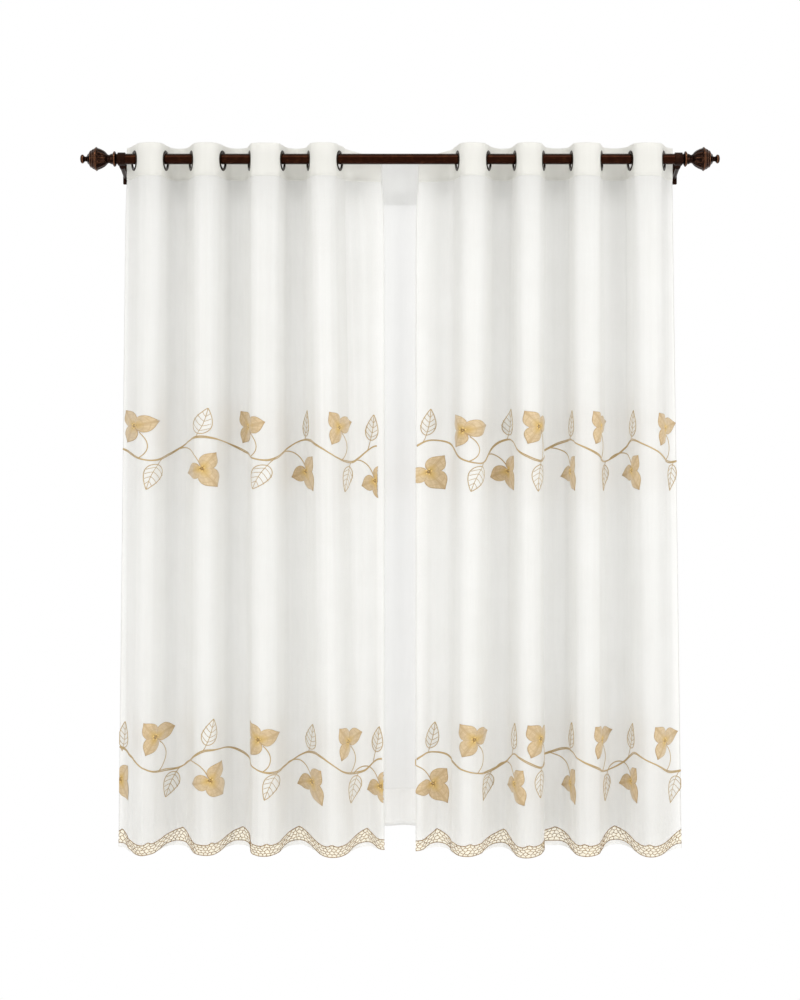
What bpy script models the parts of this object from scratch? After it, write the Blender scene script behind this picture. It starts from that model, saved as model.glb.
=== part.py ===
"""A pair of sheer voile eyelet curtains on a turned rod, with a plain voile sheer on a slim rod behind them.

Metres, +Z up. The wall is the plane Y = 0 and the room lies towards -Y. The origin is on the wall, at the
height of the main rod's axis, midway between the two brackets. Plan positions are first worked out as an offset
from the middle of the rod and a depth behind its axis, and place() turns them into world points.
"""

import math

import bmesh
import bpy
import numpy as np
from mathutils import Matrix, Vector

MM = 0.001
GAP = 0.3 * MM  # between pieces that touch
SIDES = {"left": -1, "right": 1}

# Main rod and wall
ROD_RADIUS = 16 * MM
ROD_HALF_LENGTH = 852 * MM
ROD_SIDES = 24
WALL_DISTANCE = 125 * MM  # from the main rod's axis back to the wall

# Rear rod, which carries the plain sheer
REAR_ROD_RADIUS = 6 * MM
REAR_ROD_DEPTH = 95 * MM  # behind the main rod's axis
REAR_ROD_RISE = 14.5 * MM  # above the main rod's axis
REAR_ROD_SIDES = 12

# Eyelets: a ring with a groove round it, which grips the edge of the hole in the heading
EYELETS = 8
EYELET_INNER = 22 * MM
EYELET_OUTER = 31 * MM
EYELET_THICKNESS = 6 * MM
EYELET_CHAMFER = 1.5 * MM
EYELET_SIDES = 16
GROOVE_FLOOR = 25 * MM
FLAT_STEP = math.cos(math.pi / EYELET_SIDES)  # how far a polygon's side falls inside its circle
EYELET_DROP = EYELET_INNER * FLAT_STEP - ROD_RADIUS - GAP  # the ring hangs with its inner top on the rod

# Headings and panels
EYELET_PITCH = 165 * MM  # along the cloth
LAND = 33 * MM  # half the flat stretch of heading that an eyelet clamps
HEADING_TOP = 41.5 * MM  # above the rod's axis
HEADING_BOTTOM = -57 * MM
HEADING_THICKNESS = 2.4 * MM
VOILE_THICKNESS = 1.2 * MM
HEM_LEVEL = -2089 * MM  # mean height of a panel's bottom edge
HEM_SCALLOP = 4.5 * MM  # how far the front folds reach below it, and the rear folds stop short
SCALLOP_DEPTH = 63 * MM  # the fold depth at which they do
FLARE = 0.035  # share of the drop in which a panel's free edges spread
OUTER_FLARE = {"left": 0.15, "right": 0}  # how far the outer edge follows that, rather than an even slope
END_DROOP = (36 * MM, 8 * MM)  # of the inner end of a heading, at its top and its bottom

# One row for each eyelet, from the outer end of a panel to its inner end: its offset from the middle of the rod
# in millimetres, and how far the cloth there leans from square to the rod, in degrees.
EYELET_ROWS = {
    "left": [(802, 24), (708, 10), (630, 18), (536, 15), (454, 12), (355, 12), (276, 12), (183, 17)],
    "right": [(796, 18), (696, 11), (608, 13), (518, 6), (433, 14), (347, 8), (267, 18), (174, 11)],
}
# Where a heading's ends lie, as offset and depth in millimetres: the outer end, then the inner end.
HEADING_ENDS = {
    "left": [(833, 57), (56, 38)],
    "right": [(832, 62), (56, 38)],
}
# One row for each fold line at the bottom edge, from the outer edge of a panel to its inner edge: offset and
# depth in millimetres, and how steeply the cloth goes on to the next one: 0 as in a plain wave, 1 square to the
# rod, and more where it folds back under itself, near its rear end. Front and rear folds take turns between the
# two edges.
HEM_ROWS = {
    "left": [
        (856, 39, 0), (773, -53, 0.25), (685, 62, 0.4), (582, -52, 0.35), (495, 64, 0.7),
        (408, -60, 0.4), (309, 64, 0.1), (202, -72, 0.35), (98, 43, 0.2), (47, 8, 0),
    ],
    "right": [
        (855, 29, 0), (750, -67, 0.35), (665, 69, 0.4), (558, -62, 0.55), (480, 59, 1.8),
        (376, -77, 0.45), (302, 38, 0.25), (201, -62, 0.5), (111, 39, 0.2), (47, -4, 0),
    ],
}
LAND_SHARE = LAND / EYELET_PITCH
BEND_STEPS = 5  # segments in the cloth's bend between two eyelets
END_STEPS = 3
PANEL_LEVELS = (0, 0.015, 0.035, 0.07, 0.14, 0.3, 0.55, 0.8, 1)  # shares of the drop

# Plain sheer
SHEER_HALF_WIDTH = 815 * MM
SHEER_THICKNESS = 1 * MM
SHEER_BOTTOM = -2033 * MM
SHEER_SEAM = -127 * MM  # where the turned-over top ends
SHEER_COLUMNS = 64
SHEER_WAVES = ((7 * MM, 118 * MM, 0.4), (4 * MM, 171 * MM, 1.9))  # height, length and phase of each
POCKET_RADIUS = REAR_ROD_RADIUS + 1.2 * MM  # middle of the cloth round the rear rod
POCKET_SPACING = 0.75 * MM  # half the distance between the two layers below it
POCKET_STEPS = 6
POCKET_FOOT = 15 * MM  # from the rear rod's axis down to where the layers meet

# Brackets
SLEEVE_OFFSET = 840.7 * MM
SLEEVE_WIDTH = 22 * MM
SLEEVE_RADIUS = 19.6 * MM
SLEEVE_SIDES = 24
PLATE_OFFSET = 846.8 * MM
PLATE_WIDTH = 15 * MM
PLATE_THICKNESS = 5 * MM
PLATE_RISE = (-60 * MM, 29 * MM)
LUG_RADIUS = 9.6 * MM
LUG_WIDTH = 10 * MM
STEM_SIZE = (8 * MM, 11 * MM)  # width and height of the bar from the wall plate to the lug
# The arm from the wall plate to the sleeve, one row for each section: depth, rise, offset, width and height
# in millimetres.
ARM_ROWS = [
    (121, -35, 846.6, 12, 22),
    (112, -36, 846.2, 11, 18),
    (90, -34, 845, 10, 14),
    (60, -30, 843.5, 10, 12),
    (35, -26, 842, 11, 11),
    (18, -22.5, 841, 15, 12),
    (9, -15.6, 840.7, 20.4, 9),
]
SCREW_RISES = (-51 * MM, -10 * MM)
SCREW_RADIUS = 3.8 * MM
SCREW_HEIGHT = 2.2 * MM
SCREW_SIDES = 10

# Finial, turned about the rod's axis: (distance past the end of the rod, radius) in millimetres, outwards
FINIAL_PROFILE = [
    (0.3, 0), (0.3, 15), (4, 15.5), (7, 20.5), (8.5, 23.2), (10.5, 23.2), (12, 19.5), (16, 16.5), (22, 13.5),
    (28, 12.4), (31, 15), (35, 19.6), (42, 25), (49, 28.7), (56, 31.4), (60, 32.8), (63.7, 36), (67.5, 32.6),
    (74.5, 29.6), (80.5, 25), (86.5, 17.8), (92, 9.5), (95.5, 7.5), (100, 8), (103.5, 12.4), (108, 13.3),
    (111.5, 10.5), (113, 6), (113, 0),
]
FINIAL_SIDES = 16

COLOURS = {  # base colour, roughness and metallic value
    "voile": ((0.86, 0.85, 0.82), 0.85, 0.0),
    "heading": ((0.9, 0.9, 0.87), 0.8, 0.0),
    "sheer": ((0.88, 0.88, 0.86), 0.85, 0.0),
    "bronze": ((0.07, 0.028, 0.014), 0.3, 0.6),
    "white_paint": ((0.8, 0.8, 0.78), 0.35, 0.0),
}


def clear_scene():
    for old in list(bpy.data.objects):
        bpy.data.objects.remove(old, do_unlink=True)


def finish_of(name):
    """The material of that name, made once."""
    made = bpy.data.materials.get(name)
    if made:
        return made
    colour, roughness, metallic = COLOURS[name]
    made = bpy.data.materials.new(name)
    made.use_nodes = True
    shader = made.node_tree.nodes["Principled BSDF"]
    shader.inputs["Base Color"].default_value = (*colour, 1)
    shader.inputs["Roughness"].default_value = roughness
    shader.inputs["Metallic"].default_value = metallic
    return made


def add_piece(name, mesh, finish, smooth_angle=40):
    piece = bpy.data.objects.new(name, mesh)
    bpy.context.scene.collection.objects.link(piece)
    if not mesh.materials:
        mesh.materials.append(finish_of(finish))
        mesh.shade_smooth()
        mesh.set_sharp_from_angle(angle=math.radians(smooth_angle))
    return piece


def mesh_from(name, points, faces):
    mesh = bpy.data.meshes.new(name)
    mesh.from_pydata([tuple(p) for p in points], [], [tuple(f) for f in faces])
    mesh.update()
    return mesh


def outward(mesh):
    """Turns the faces of a closed mesh outwards."""
    work = bmesh.new()
    work.from_mesh(mesh)
    bmesh.ops.recalc_face_normals(work, faces=work.faces)
    work.to_mesh(mesh)
    work.free()
    return mesh


def place(side, offset, depth, rise):
    """World point of an offset from the rod's middle, a depth behind its axis and a rise above it."""
    return (SIDES[side] * offset, depth - WALL_DISTANCE, rise)


# ---- turned pieces ----


def turned(name, profile, sides, ring=False, phase=0.0):
    """A closed mesh turned about X from (x, radius) points. ring closes the profile on itself."""
    points = []
    rings = []
    for x, radius in profile:
        if radius == 0:
            rings.append([len(points)])
            points.append((x, 0, 0))
            continue
        rings.append(range(len(points), len(points) + sides))
        for k in range(sides):
            turn = phase + 2 * math.pi * k / sides
            points.append((x, radius * math.cos(turn), radius * math.sin(turn)))
    faces = []
    pairs = list(zip(rings, rings[1:] + rings[:1] if ring else rings[1:]))
    for here, there in pairs:
        for k in range(sides):
            n = (k + 1) % sides
            if len(here) == 1:
                faces.append((here[0], there[n], there[k]))
            elif len(there) == 1:
                faces.append((here[k], here[n], there[0]))
            else:
                faces.append((here[k], here[n], there[n], there[k]))
    return outward(mesh_from(name, points, faces))


def bar(name, half_length, radius, sides):
    """A solid round bar along X, with a corner at its top."""
    profile = [(-half_length, 0), (-half_length, radius), (half_length, radius), (half_length, 0)]
    return turned(name, profile, sides, phase=math.pi / 2)


def make_rods():
    rod = add_piece("main_rod", bar("main_rod", ROD_HALF_LENGTH, ROD_RADIUS, ROD_SIDES), "bronze")
    rod.location = (0, -WALL_DISTANCE, 0)
    half_length = PLATE_OFFSET + LUG_WIDTH / 2
    rear = add_piece("rear_rod", bar("rear_rod", half_length, REAR_ROD_RADIUS, REAR_ROD_SIDES), "white_paint")
    rear.location = (0, REAR_ROD_DEPTH - WALL_DISTANCE, REAR_ROD_RISE)


def make_finials():
    profile = [(x * MM, radius * MM) for x, radius in FINIAL_PROFILE]
    mesh = turned("finial", profile, FINIAL_SIDES)
    for side, sign in SIDES.items():
        finial = add_piece(f"finial_{side}", mesh, "bronze", smooth_angle=50)
        finial.location = (sign * ROD_HALF_LENGTH, -WALL_DISTANCE, 0)
        finial.rotation_euler = (0, 0, math.pi if sign < 0 else 0)


# ---- plan curves of the cloth ----


def bezier(p0, p1, p2, p3, count=60):
    t = np.linspace(0, 1, count)[:, None]
    return (1 - t) ** 3 * p0 + 3 * (1 - t) ** 2 * t * p1 + 3 * (1 - t) * t**2 * p2 + t**3 * p3


def along(points):
    """Distance of each point from the first, along the line."""
    return np.concatenate([[0], np.cumsum(np.linalg.norm(np.diff(points, axis=0), axis=1))])


def evenly(points, count):
    """count + 1 points spaced evenly along the line."""
    distance = along(points)
    wanted = np.linspace(0, distance[-1], count + 1)
    return np.stack([np.interp(wanted, distance, points[:, axis]) for axis in (0, 1)], axis=1)


def bend(start, heading, end, arriving, length):
    """The bend from one clamped stretch to the next, with handles that give the cloth this length."""
    low, high = 0.0, length
    for _ in range(40):
        handle = (low + high) / 2
        line = bezier(start, start + handle * heading, end - handle * arriving, end)
        if along(line)[-1] < length:
            low = handle
        else:
            high = handle
    return line


def eyelet_frames(side):
    """(centre, direction) of the cloth at each eyelet in plan. It crosses the rod forwards and backwards in turn."""
    frames = []
    for k, (offset, lean) in enumerate(EYELET_ROWS[side]):
        turn = math.radians(lean)
        forwards = -1 if k % 2 == 0 else 1
        frames.append((np.array([offset * MM, 0.0]), np.array([-math.sin(turn), forwards * math.cos(turn)])))
    return frames


def heading_plan(side):
    """Plan points of the heading from its outer to its inner end, as offset and depth."""
    frames = eyelet_frames(side)
    outer, inner = (np.array(end) * MM for end in HEADING_ENDS[side])
    centre, direction = frames[0]
    start = centre - LAND * direction
    reach = np.linalg.norm(outer - start) / 3
    line = bezier(outer, outer - reach * np.array([1, 0.6]), start - reach * direction, start)
    plan = list(evenly(line, END_STEPS))
    free = EYELET_PITCH - 2 * LAND
    for (here, way), (there, next_way) in zip(frames, frames[1:]):
        line = bend(here + LAND * way, way, there - LAND * next_way, next_way, free)
        plan += list(evenly(line, BEND_STEPS))
    centre, direction = frames[-1]
    start = centre + LAND * direction
    reach = np.linalg.norm(inner - start) / 2
    line = bezier(start, start + reach * direction, inner + reach * np.array([1, 0]), inner)
    plan += list(evenly(line, END_STEPS + 5))
    return np.array(plan)


def hem_plan(side):
    """Plan points of the bottom edge, one for each of heading_plan's, from the table of fold lines."""
    rows = HEM_ROWS[side]
    t = np.linspace(0, 1, 60)
    lines = []
    for (offset, depth, steepness), (next_offset, next_depth, _) in zip(rows, rows[1:]):
        shift = t + steepness * np.sin(2 * math.pi * t) / (2 * math.pi)
        offsets = offset + shift * (next_offset - offset)
        late = 1 + 1.5 * max(0, steepness - 1)
        swing = (1 - np.cos(math.pi * t**late)) / 2
        lines.append(np.stack([offsets, depth + swing * (next_depth - depth)], axis=1) * MM)

    def at(fold):
        """The point at a fold number: 0 at the outer edge, 1 at the first fold line, and so on."""
        line = lines[min(int(fold), len(lines) - 1)]
        distance = along(line)
        wanted = (fold - min(int(fold), len(lines) - 1)) * distance[-1]
        return [np.interp(wanted, distance, line[:, axis]) for axis in (0, 1)]

    return np.array([at(fold) for fold in fold_numbers()])


def fold_numbers():
    """Where each plan point lies among the fold lines. An eyelet is halfway between two of them."""
    folds = list(np.linspace(0, 0.5 - LAND_SHARE, END_STEPS + 1))
    for k in range(EYELETS - 1):
        folds += list(np.linspace(k + 0.5 + LAND_SHARE, k + 1.5 - LAND_SHARE, BEND_STEPS + 1))
    folds += list(np.linspace(EYELETS - 0.5 + LAND_SHARE, EYELETS + 1, END_STEPS + 6))
    return np.array(folds)


# ---- cloth ----


def cloth(name, points, thickness, finish):
    """A sheet on a grid of world points, thickened evenly to both sides."""
    rows, columns = points.shape[:2]
    number = np.arange(rows * columns).reshape(rows, columns)
    corners = [number[:-1, :-1], number[:-1, 1:], number[1:, 1:], number[1:, :-1]]
    faces = np.stack(corners, axis=-1).reshape(-1, 4)
    sheet = add_piece(name, mesh_from(name, points.reshape(-1, 3), faces), finish, smooth_angle=60)
    thick = sheet.modifiers.new("thickness", "SOLIDIFY")
    thick.thickness = thickness
    thick.offset = 0
    thick.use_even_offset = True
    return sheet


def inner_droop(folds, share):
    """How far the inner end of a heading hangs below its level, from its top (share 0) to its bottom (1)."""
    past = np.clip((folds - (EYELETS - 0.3)) / 1.3, 0, 1)
    return (END_DROOP[0] + share * (END_DROOP[1] - END_DROOP[0])) * past**1.2


def make_heading(side):
    plan = heading_plan(side)
    folds = fold_numbers()
    top = [place(side, *p, HEADING_TOP - inner_droop(f, 0)) for p, f in zip(plan, folds)]
    bottom = [place(side, *p, HEADING_BOTTOM - inner_droop(f, 1)) for p, f in zip(plan, folds)]
    heading = cloth(f"heading_{side}", np.array([top, bottom]), HEADING_THICKNESS, "heading")
    punch = bpy.data.objects.new(f"punch_{side}", punch_mesh(side))
    bpy.context.scene.collection.objects.link(punch)
    punch.hide_render = True
    punch.display_type = "WIRE"
    cut = heading.modifiers.new("eyelet holes", "BOOLEAN")
    cut.operation = "DIFFERENCE"
    cut.solver = "EXACT"
    cut.object = punch


def eyelet_placements(side):
    """A matrix for each eyelet, whose own axis is X and whose Y lies along the cloth."""
    made = []
    for centre, direction in eyelet_frames(side):
        turn = math.atan2(direction[1], SIDES[side] * direction[0]) - math.pi / 2
        made.append(Matrix.Translation(place(side, *centre, -EYELET_DROP)) @ Matrix.Rotation(turn, 4, "Z"))
    return made


def punch_mesh(side):
    """Every hole of a heading, as one mesh of short bars. Each has a level side at its top, as the ring has."""
    radius = (GROOVE_FLOOR + GAP) / FLAT_STEP
    reach = 4 * HEADING_THICKNESS
    profile = [(-reach, 0), (-reach, radius), (reach, radius), (reach, 0)]
    work = bmesh.new()
    for matrix in eyelet_placements(side):
        mesh = turned("punch", profile, EYELET_SIDES, phase=math.pi / EYELET_SIDES)
        mesh.transform(matrix)
        work.from_mesh(mesh)
        bpy.data.meshes.remove(mesh)
    joined = bpy.data.meshes.new(f"punch_{side}")
    work.to_mesh(joined)
    work.free()
    return joined


def make_eyelets():
    half = EYELET_THICKNESS / 2
    groove = HEADING_THICKNESS / 2 + GAP
    rim = EYELET_OUTER - EYELET_CHAMFER
    profile = [
        (-half, rim), (-groove, EYELET_OUTER), (-groove, GROOVE_FLOOR), (groove, GROOVE_FLOOR),
        (groove, EYELET_OUTER), (half, rim), (half, EYELET_INNER), (-half, EYELET_INNER),
    ]
    mesh = turned("eyelet", profile, EYELET_SIDES, ring=True, phase=math.pi / EYELET_SIDES)
    for side in SIDES:
        for k, matrix in enumerate(eyelet_placements(side), start=1):
            add_piece(f"eyelet_{side}_{k}", mesh, "bronze").matrix_world = matrix


def make_panel(side):
    top, hem = heading_plan(side), hem_plan(side)
    folds = fold_numbers()
    outer_edge = OUTER_FLARE[side] * np.clip(1 - folds, 0, 1)
    inner_edge = np.clip(folds - EYELETS, 0, 1)
    quick = outer_edge + inner_edge  # how much a column follows the quick spread of the free edges
    seam = HEADING_BOTTOM - GAP
    rows = []
    for level in PANEL_LEVELS:
        spread = 1 - math.exp(-level / FLARE)
        share = level + quick * (spread - level)
        offset = top[:, 0] + share * (hem[:, 0] - top[:, 0])
        depth = top[:, 1] + level * (hem[:, 1] - top[:, 1])
        lowest = HEM_LEVEL + HEM_SCALLOP * hem[:, 1] / SCALLOP_DEPTH
        highest = seam - inner_droop(folds, 1)
        rise = highest + level * (lowest - highest)
        rows.append([place(side, *p) for p in zip(offset, depth, rise)])
    cloth(f"panel_{side}", np.array(rows), VOILE_THICKNESS, "voile")


def sheer_section():
    """Depth and rise from the rear rod's axis: up behind the rod, over it, and down in front of it."""
    section = [(POCKET_SPACING, SHEER_SEAM - REAR_ROD_RISE), (POCKET_SPACING, -POCKET_FOOT)]
    for turn in np.linspace(0, math.pi, POCKET_STEPS + 1):
        section.append((POCKET_RADIUS * math.cos(turn), POCKET_RADIUS * math.sin(turn)))
    section.append((-POCKET_SPACING, -POCKET_FOOT))
    low = SHEER_BOTTOM - REAR_ROD_RISE
    section += [(-POCKET_SPACING, share * low) for share in (0.07, 0.3, 1)]
    return section


def make_sheer():
    """Its waves start below the rod pocket and are full a third of the way down."""
    across = np.linspace(-SHEER_HALF_WIDTH, SHEER_HALF_WIDTH, SHEER_COLUMNS + 1)
    wave = 0
    for height, length, phase in SHEER_WAVES:
        wave = wave + height * np.sin(2 * math.pi * across / length + phase)
    full_at = 0.3 * SHEER_BOTTOM
    rows = []
    for depth, rise in sheer_section():
        share = min(1, max(0, -rise - POCKET_FOOT) / (-full_at - POCKET_FOOT))
        back = REAR_ROD_DEPTH + depth + share * wave - WALL_DISTANCE
        rows.append(np.stack([across, back, np.full_like(across, REAR_ROD_RISE + rise)], axis=1))
    cloth("plain_sheer", np.array(rows), SHEER_THICKNESS, "sheer")


# ---- brackets ----


def block(name, low, high, bevel):
    """A box between two corners, with its edges rounded off."""
    work = bmesh.new()
    bmesh.ops.create_cube(work, size=1)
    size = Vector(high) - Vector(low)
    bmesh.ops.scale(work, vec=size, verts=work.verts)
    bmesh.ops.translate(work, vec=(Vector(low) + Vector(high)) / 2, verts=work.verts)
    upright = [e for e in work.edges if abs((e.verts[0].co - e.verts[1].co).y) > PLATE_THICKNESS / 2]
    bmesh.ops.bevel(work, geom=upright, offset=bevel, segments=3, affect="EDGES", profile=0.5)
    mesh = bpy.data.meshes.new(name)
    work.to_mesh(mesh)
    work.free()
    return outward(mesh)


def arm_mesh(name, side):
    """The arm: a six-sided bar whose sections are the rows of ARM_ROWS."""
    outline = [(-0.5, -0.25), (-0.5, 0.25), (0, 0.5), (0.5, 0.25), (0.5, -0.25), (0, -0.5)]
    points = []
    for depth, rise, offset, width, height in ARM_ROWS:
        for across, up in outline:
            points.append(place(side, (offset + across * width) * MM, depth * MM, (rise + up * height) * MM))
    count = len(outline)
    faces = [tuple(range(count)), tuple(range(len(points) - count, len(points)))]
    for row in range(len(ARM_ROWS) - 1):
        for k in range(count):
            n = (k + 1) % count
            a, b = row * count, (row + 1) * count
            faces.append((a + k, a + n, b + n, b + k))
    return outward(mesh_from(name, points, faces))


def helper(name, mesh):
    made = bpy.data.objects.new(name, mesh)
    bpy.context.scene.collection.objects.link(made)
    made.hide_render = True
    made.display_type = "WIRE"
    return made


def combine(target, operation, other):
    step = target.modifiers.new(operation.lower(), "BOOLEAN")
    step.operation = operation
    step.solver = "EXACT"
    step.object = other


def bored(side, name, radius, length, offset, depth, rise, sides, phase=0.0):
    """A round bar along X, as a helper that is joined on or cut away."""
    profile = [(-length / 2, 0), (-length / 2, radius), (length / 2, radius), (length / 2, 0)]
    made = helper(name, turned(name, profile, sides, phase=phase))
    made.location = place(side, offset, depth, rise)
    return made


def make_bracket(side):
    half = PLATE_WIDTH / 2
    front = WALL_DISTANCE - PLATE_THICKNESS
    corners = [
        place(side, PLATE_OFFSET + SIDES[side] * along_x, depth, rise)
        for along_x, depth, rise in ((-half, front, PLATE_RISE[0]), (half, WALL_DISTANCE, PLATE_RISE[1]))
    ]
    bracket = add_piece(f"bracket_{side}", block(f"bracket_{side}", *corners, 3 * MM), "bronze")
    combine(bracket, "UNION", helper(f"arm_{side}", arm_mesh(f"arm_{side}", side)))
    half_width, half_height = STEM_SIZE[0] / 2, STEM_SIZE[1] / 2
    corners = [
        place(side, PLATE_OFFSET + SIDES[side] * along_x, depth, REAR_ROD_RISE + rise)
        for along_x, depth, rise in (
            (-half_width, REAR_ROD_DEPTH + LUG_RADIUS / 2, -half_height),
            (half_width, front + PLATE_THICKNESS / 2, half_height),
        )
    ]
    combine(bracket, "UNION", helper(f"stem_{side}", block(f"stem_{side}", *corners, 1 * MM)))
    lug_at = (PLATE_OFFSET, REAR_ROD_DEPTH, REAR_ROD_RISE)
    sleeve_at = (SLEEVE_OFFSET, 0, 0)
    for name, radius, width, at, sides in (
        ("lug", LUG_RADIUS, LUG_WIDTH, lug_at, 16),
        ("sleeve", SLEEVE_RADIUS, SLEEVE_WIDTH, sleeve_at, SLEEVE_SIDES),
    ):
        combine(bracket, "UNION", bored(side, f"{name}_{side}", radius, width, *at, sides, math.pi / sides))
    for name, radius, at, sides in (
        ("lug_bore", (REAR_ROD_RADIUS + GAP), lug_at, 16),
        ("sleeve_bore", (ROD_RADIUS + GAP), sleeve_at, SLEEVE_SIDES),
    ):
        snug = radius / math.cos(math.pi / sides)
        combine(bracket, "DIFFERENCE", bored(side, f"{name}_{side}", snug, 40 * MM, *at, sides))


def make_screws():
    edge = (-0.6 * SCREW_HEIGHT, SCREW_RADIUS)
    top = (-SCREW_HEIGHT, SCREW_RADIUS / 2)
    mesh = turned("screw", [(0, 0), (0, SCREW_RADIUS), edge, top, (-SCREW_HEIGHT, 0)], SCREW_SIDES)
    face = WALL_DISTANCE - PLATE_THICKNESS - GAP
    for side in SIDES:
        for k, rise in enumerate(SCREW_RISES, start=1):
            screw = add_piece(f"screw_{side}_{k}", mesh, "bronze")
            screw.location = place(side, PLATE_OFFSET, face, rise)
            screw.rotation_euler = (0, 0, math.pi / 2)


def main():
    clear_scene()
    make_rods()
    make_finials()
    make_eyelets()
    for side in SIDES:
        make_heading(side)
        make_panel(side)
        make_bracket(side)
    make_sheer()
    make_screws()


main()
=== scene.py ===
import math
import bpy
import numpy as np
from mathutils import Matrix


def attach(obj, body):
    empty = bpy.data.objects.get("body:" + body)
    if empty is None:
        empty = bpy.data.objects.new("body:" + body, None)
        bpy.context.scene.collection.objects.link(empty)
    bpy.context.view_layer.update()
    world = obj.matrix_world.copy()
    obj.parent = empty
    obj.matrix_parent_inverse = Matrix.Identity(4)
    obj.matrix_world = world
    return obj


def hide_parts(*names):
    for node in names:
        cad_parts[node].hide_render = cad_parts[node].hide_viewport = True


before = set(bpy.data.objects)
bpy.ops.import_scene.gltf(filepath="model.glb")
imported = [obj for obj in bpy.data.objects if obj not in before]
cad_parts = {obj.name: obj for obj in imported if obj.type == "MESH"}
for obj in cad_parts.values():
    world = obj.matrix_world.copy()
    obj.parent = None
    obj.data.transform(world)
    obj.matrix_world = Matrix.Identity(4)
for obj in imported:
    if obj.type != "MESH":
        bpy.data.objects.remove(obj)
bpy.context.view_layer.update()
body = "root"
mm = 0.001


camera = {
    "away": 5.5, "wallGap": 0.125, "height": -0.8486, "mmPerPixel": 3.02, "pixelsTall": 1000,
    "sensor": 36, "shiftUp": -0.06,
}
light = {"seen": 1.0, "around": 0.78, "floorHeight": -2.19, "floorReach": 9.0, "floorSeen": 1.0}
# place and aim (m), width and height (m), watts; shine = mirrored in the bronze
lamps = {
    "rightBox": {"place": (2.9, -2.8, -0.2), "aim": (0, 0, -1.1), "size": (1.6, 2.5), "watts": 44, "shine": True},
    "leftBox": {"place": (-2.8, -2.8, 0.0), "aim": (0, 0, -1.1), "size": (1.6, 2.5), "watts": 32, "shine": True},
    "windowBox": {"place": (0.05, 1.9, -0.95), "aim": (0, 0, -0.95), "size": (2.0, 2.3), "watts": 28, "shine": False},
    "topBox": {"place": (0.1, -1.5, 1.7), "aim": (0, -0.12, -0.1), "size": (3.4, 0.3), "watts": 16, "shine": True},
    "lowBox": {"place": (0, -2.2, -2.05), "aim": (0, 0, -1.6), "size": (3.0, 0.6), "watts": 7, "shine": False},
}


def setCamera():
    # the frame is pixelsTall pixels high, its longer side, and a pixel is mmPerPixel at the rod
    data = bpy.data.cameras.new("camera")
    data.sensor_fit, data.sensor_width = "AUTO", camera["sensor"]
    data.lens = camera["sensor"] * camera["away"] / (camera["pixelsTall"] * camera["mmPerPixel"] * mm)
    data.shift_y = camera["shiftUp"]
    eye = bpy.data.objects.new("camera", data)
    eye.location = (0, -camera["wallGap"] - camera["away"], camera["height"])
    eye.rotation_euler = (math.radians(90), 0, 0)
    bpy.context.scene.collection.objects.link(eye)
    bpy.context.scene.camera = eye


def softBox(name, place, aim, size, watts, shine):
    # a soft lamp turned so that its -Z runs from its place to its aim
    data = bpy.data.lights.new(name, "AREA")
    data.shape = "RECTANGLE"
    data.size, data.size_y = size
    data.energy = watts
    lamp = bpy.data.objects.new(name, data)
    lamp.visible_camera = False
    lamp.visible_glossy = shine
    lamp.location = place
    run = np.array(aim, float) - np.array(place, float)
    level = math.hypot(run[0], run[1])
    lamp.rotation_euler = (math.atan2(level, -run[2]), 0, math.atan2(-run[0], run[1]))
    bpy.context.scene.collection.objects.link(lamp)


def setWorld():
    # white behind the object, softer for what lights it
    world = bpy.data.worlds.new("studio")
    bpy.context.scene.world = world
    world.use_nodes = True
    nodes, links = world.node_tree.nodes, world.node_tree.links
    nodes.clear()
    seen, around = nodes.new("ShaderNodeBackground"), nodes.new("ShaderNodeBackground")
    seen.inputs["Color"].default_value = (1, 1, 1, 1)
    seen.inputs["Strength"].default_value = light["seen"]
    around.inputs["Color"].default_value = (1.0, 0.998, 0.988, 1)
    around.inputs["Strength"].default_value = light["around"]
    path, mix = nodes.new("ShaderNodeLightPath"), nodes.new("ShaderNodeMixShader")
    out = nodes.new("ShaderNodeOutputWorld")
    links.new(path.outputs["Is Camera Ray"], mix.inputs["Fac"])
    links.new(around.outputs[0], mix.inputs[1])
    links.new(seen.outputs[0], mix.inputs[2])
    links.new(mix.outputs[0], out.inputs["Surface"])


setCamera()
setWorld()
for name, lamp in lamps.items():
    softBox(name, **lamp)
bpy.context.scene.view_settings.view_transform = "Standard"
print("camera and light set")


def gridPart(points, uv, wrap=False, flip=False, keep=None):
    # points (patches, rows, columns, 3), and uv the same, with one more column when wrap;
    # a quad joins each point to the next column and the next row
    patches, rows, columns = points.shape[:3]
    index = np.arange(patches * rows * columns).reshape(patches, rows, columns)
    if wrap:
        index = np.concatenate([index, index[:, :, :1]], 2)

    def corners(a):
        around = [a[:, :-1, :-1], a[:, :-1, 1:], a[:, 1:, 1:], a[:, 1:, :-1]]
        return np.stack(around[::-1] if flip else around, 3)

    quads, quadUv = corners(index), corners(uv)
    if keep is not None:
        quads, quadUv = quads[keep], quadUv[keep]
    return [points.reshape(-1, 3), [quads.reshape(-1, 4)], [quadUv.reshape(-1, 4, 2)]]


def closeEnds(part, caps):
    # flat faces, each a row of point numbers, over the open ends of a part
    part[1].append(caps)
    part[2].append(np.zeros(caps.shape + (2,)))
    return part


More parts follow.
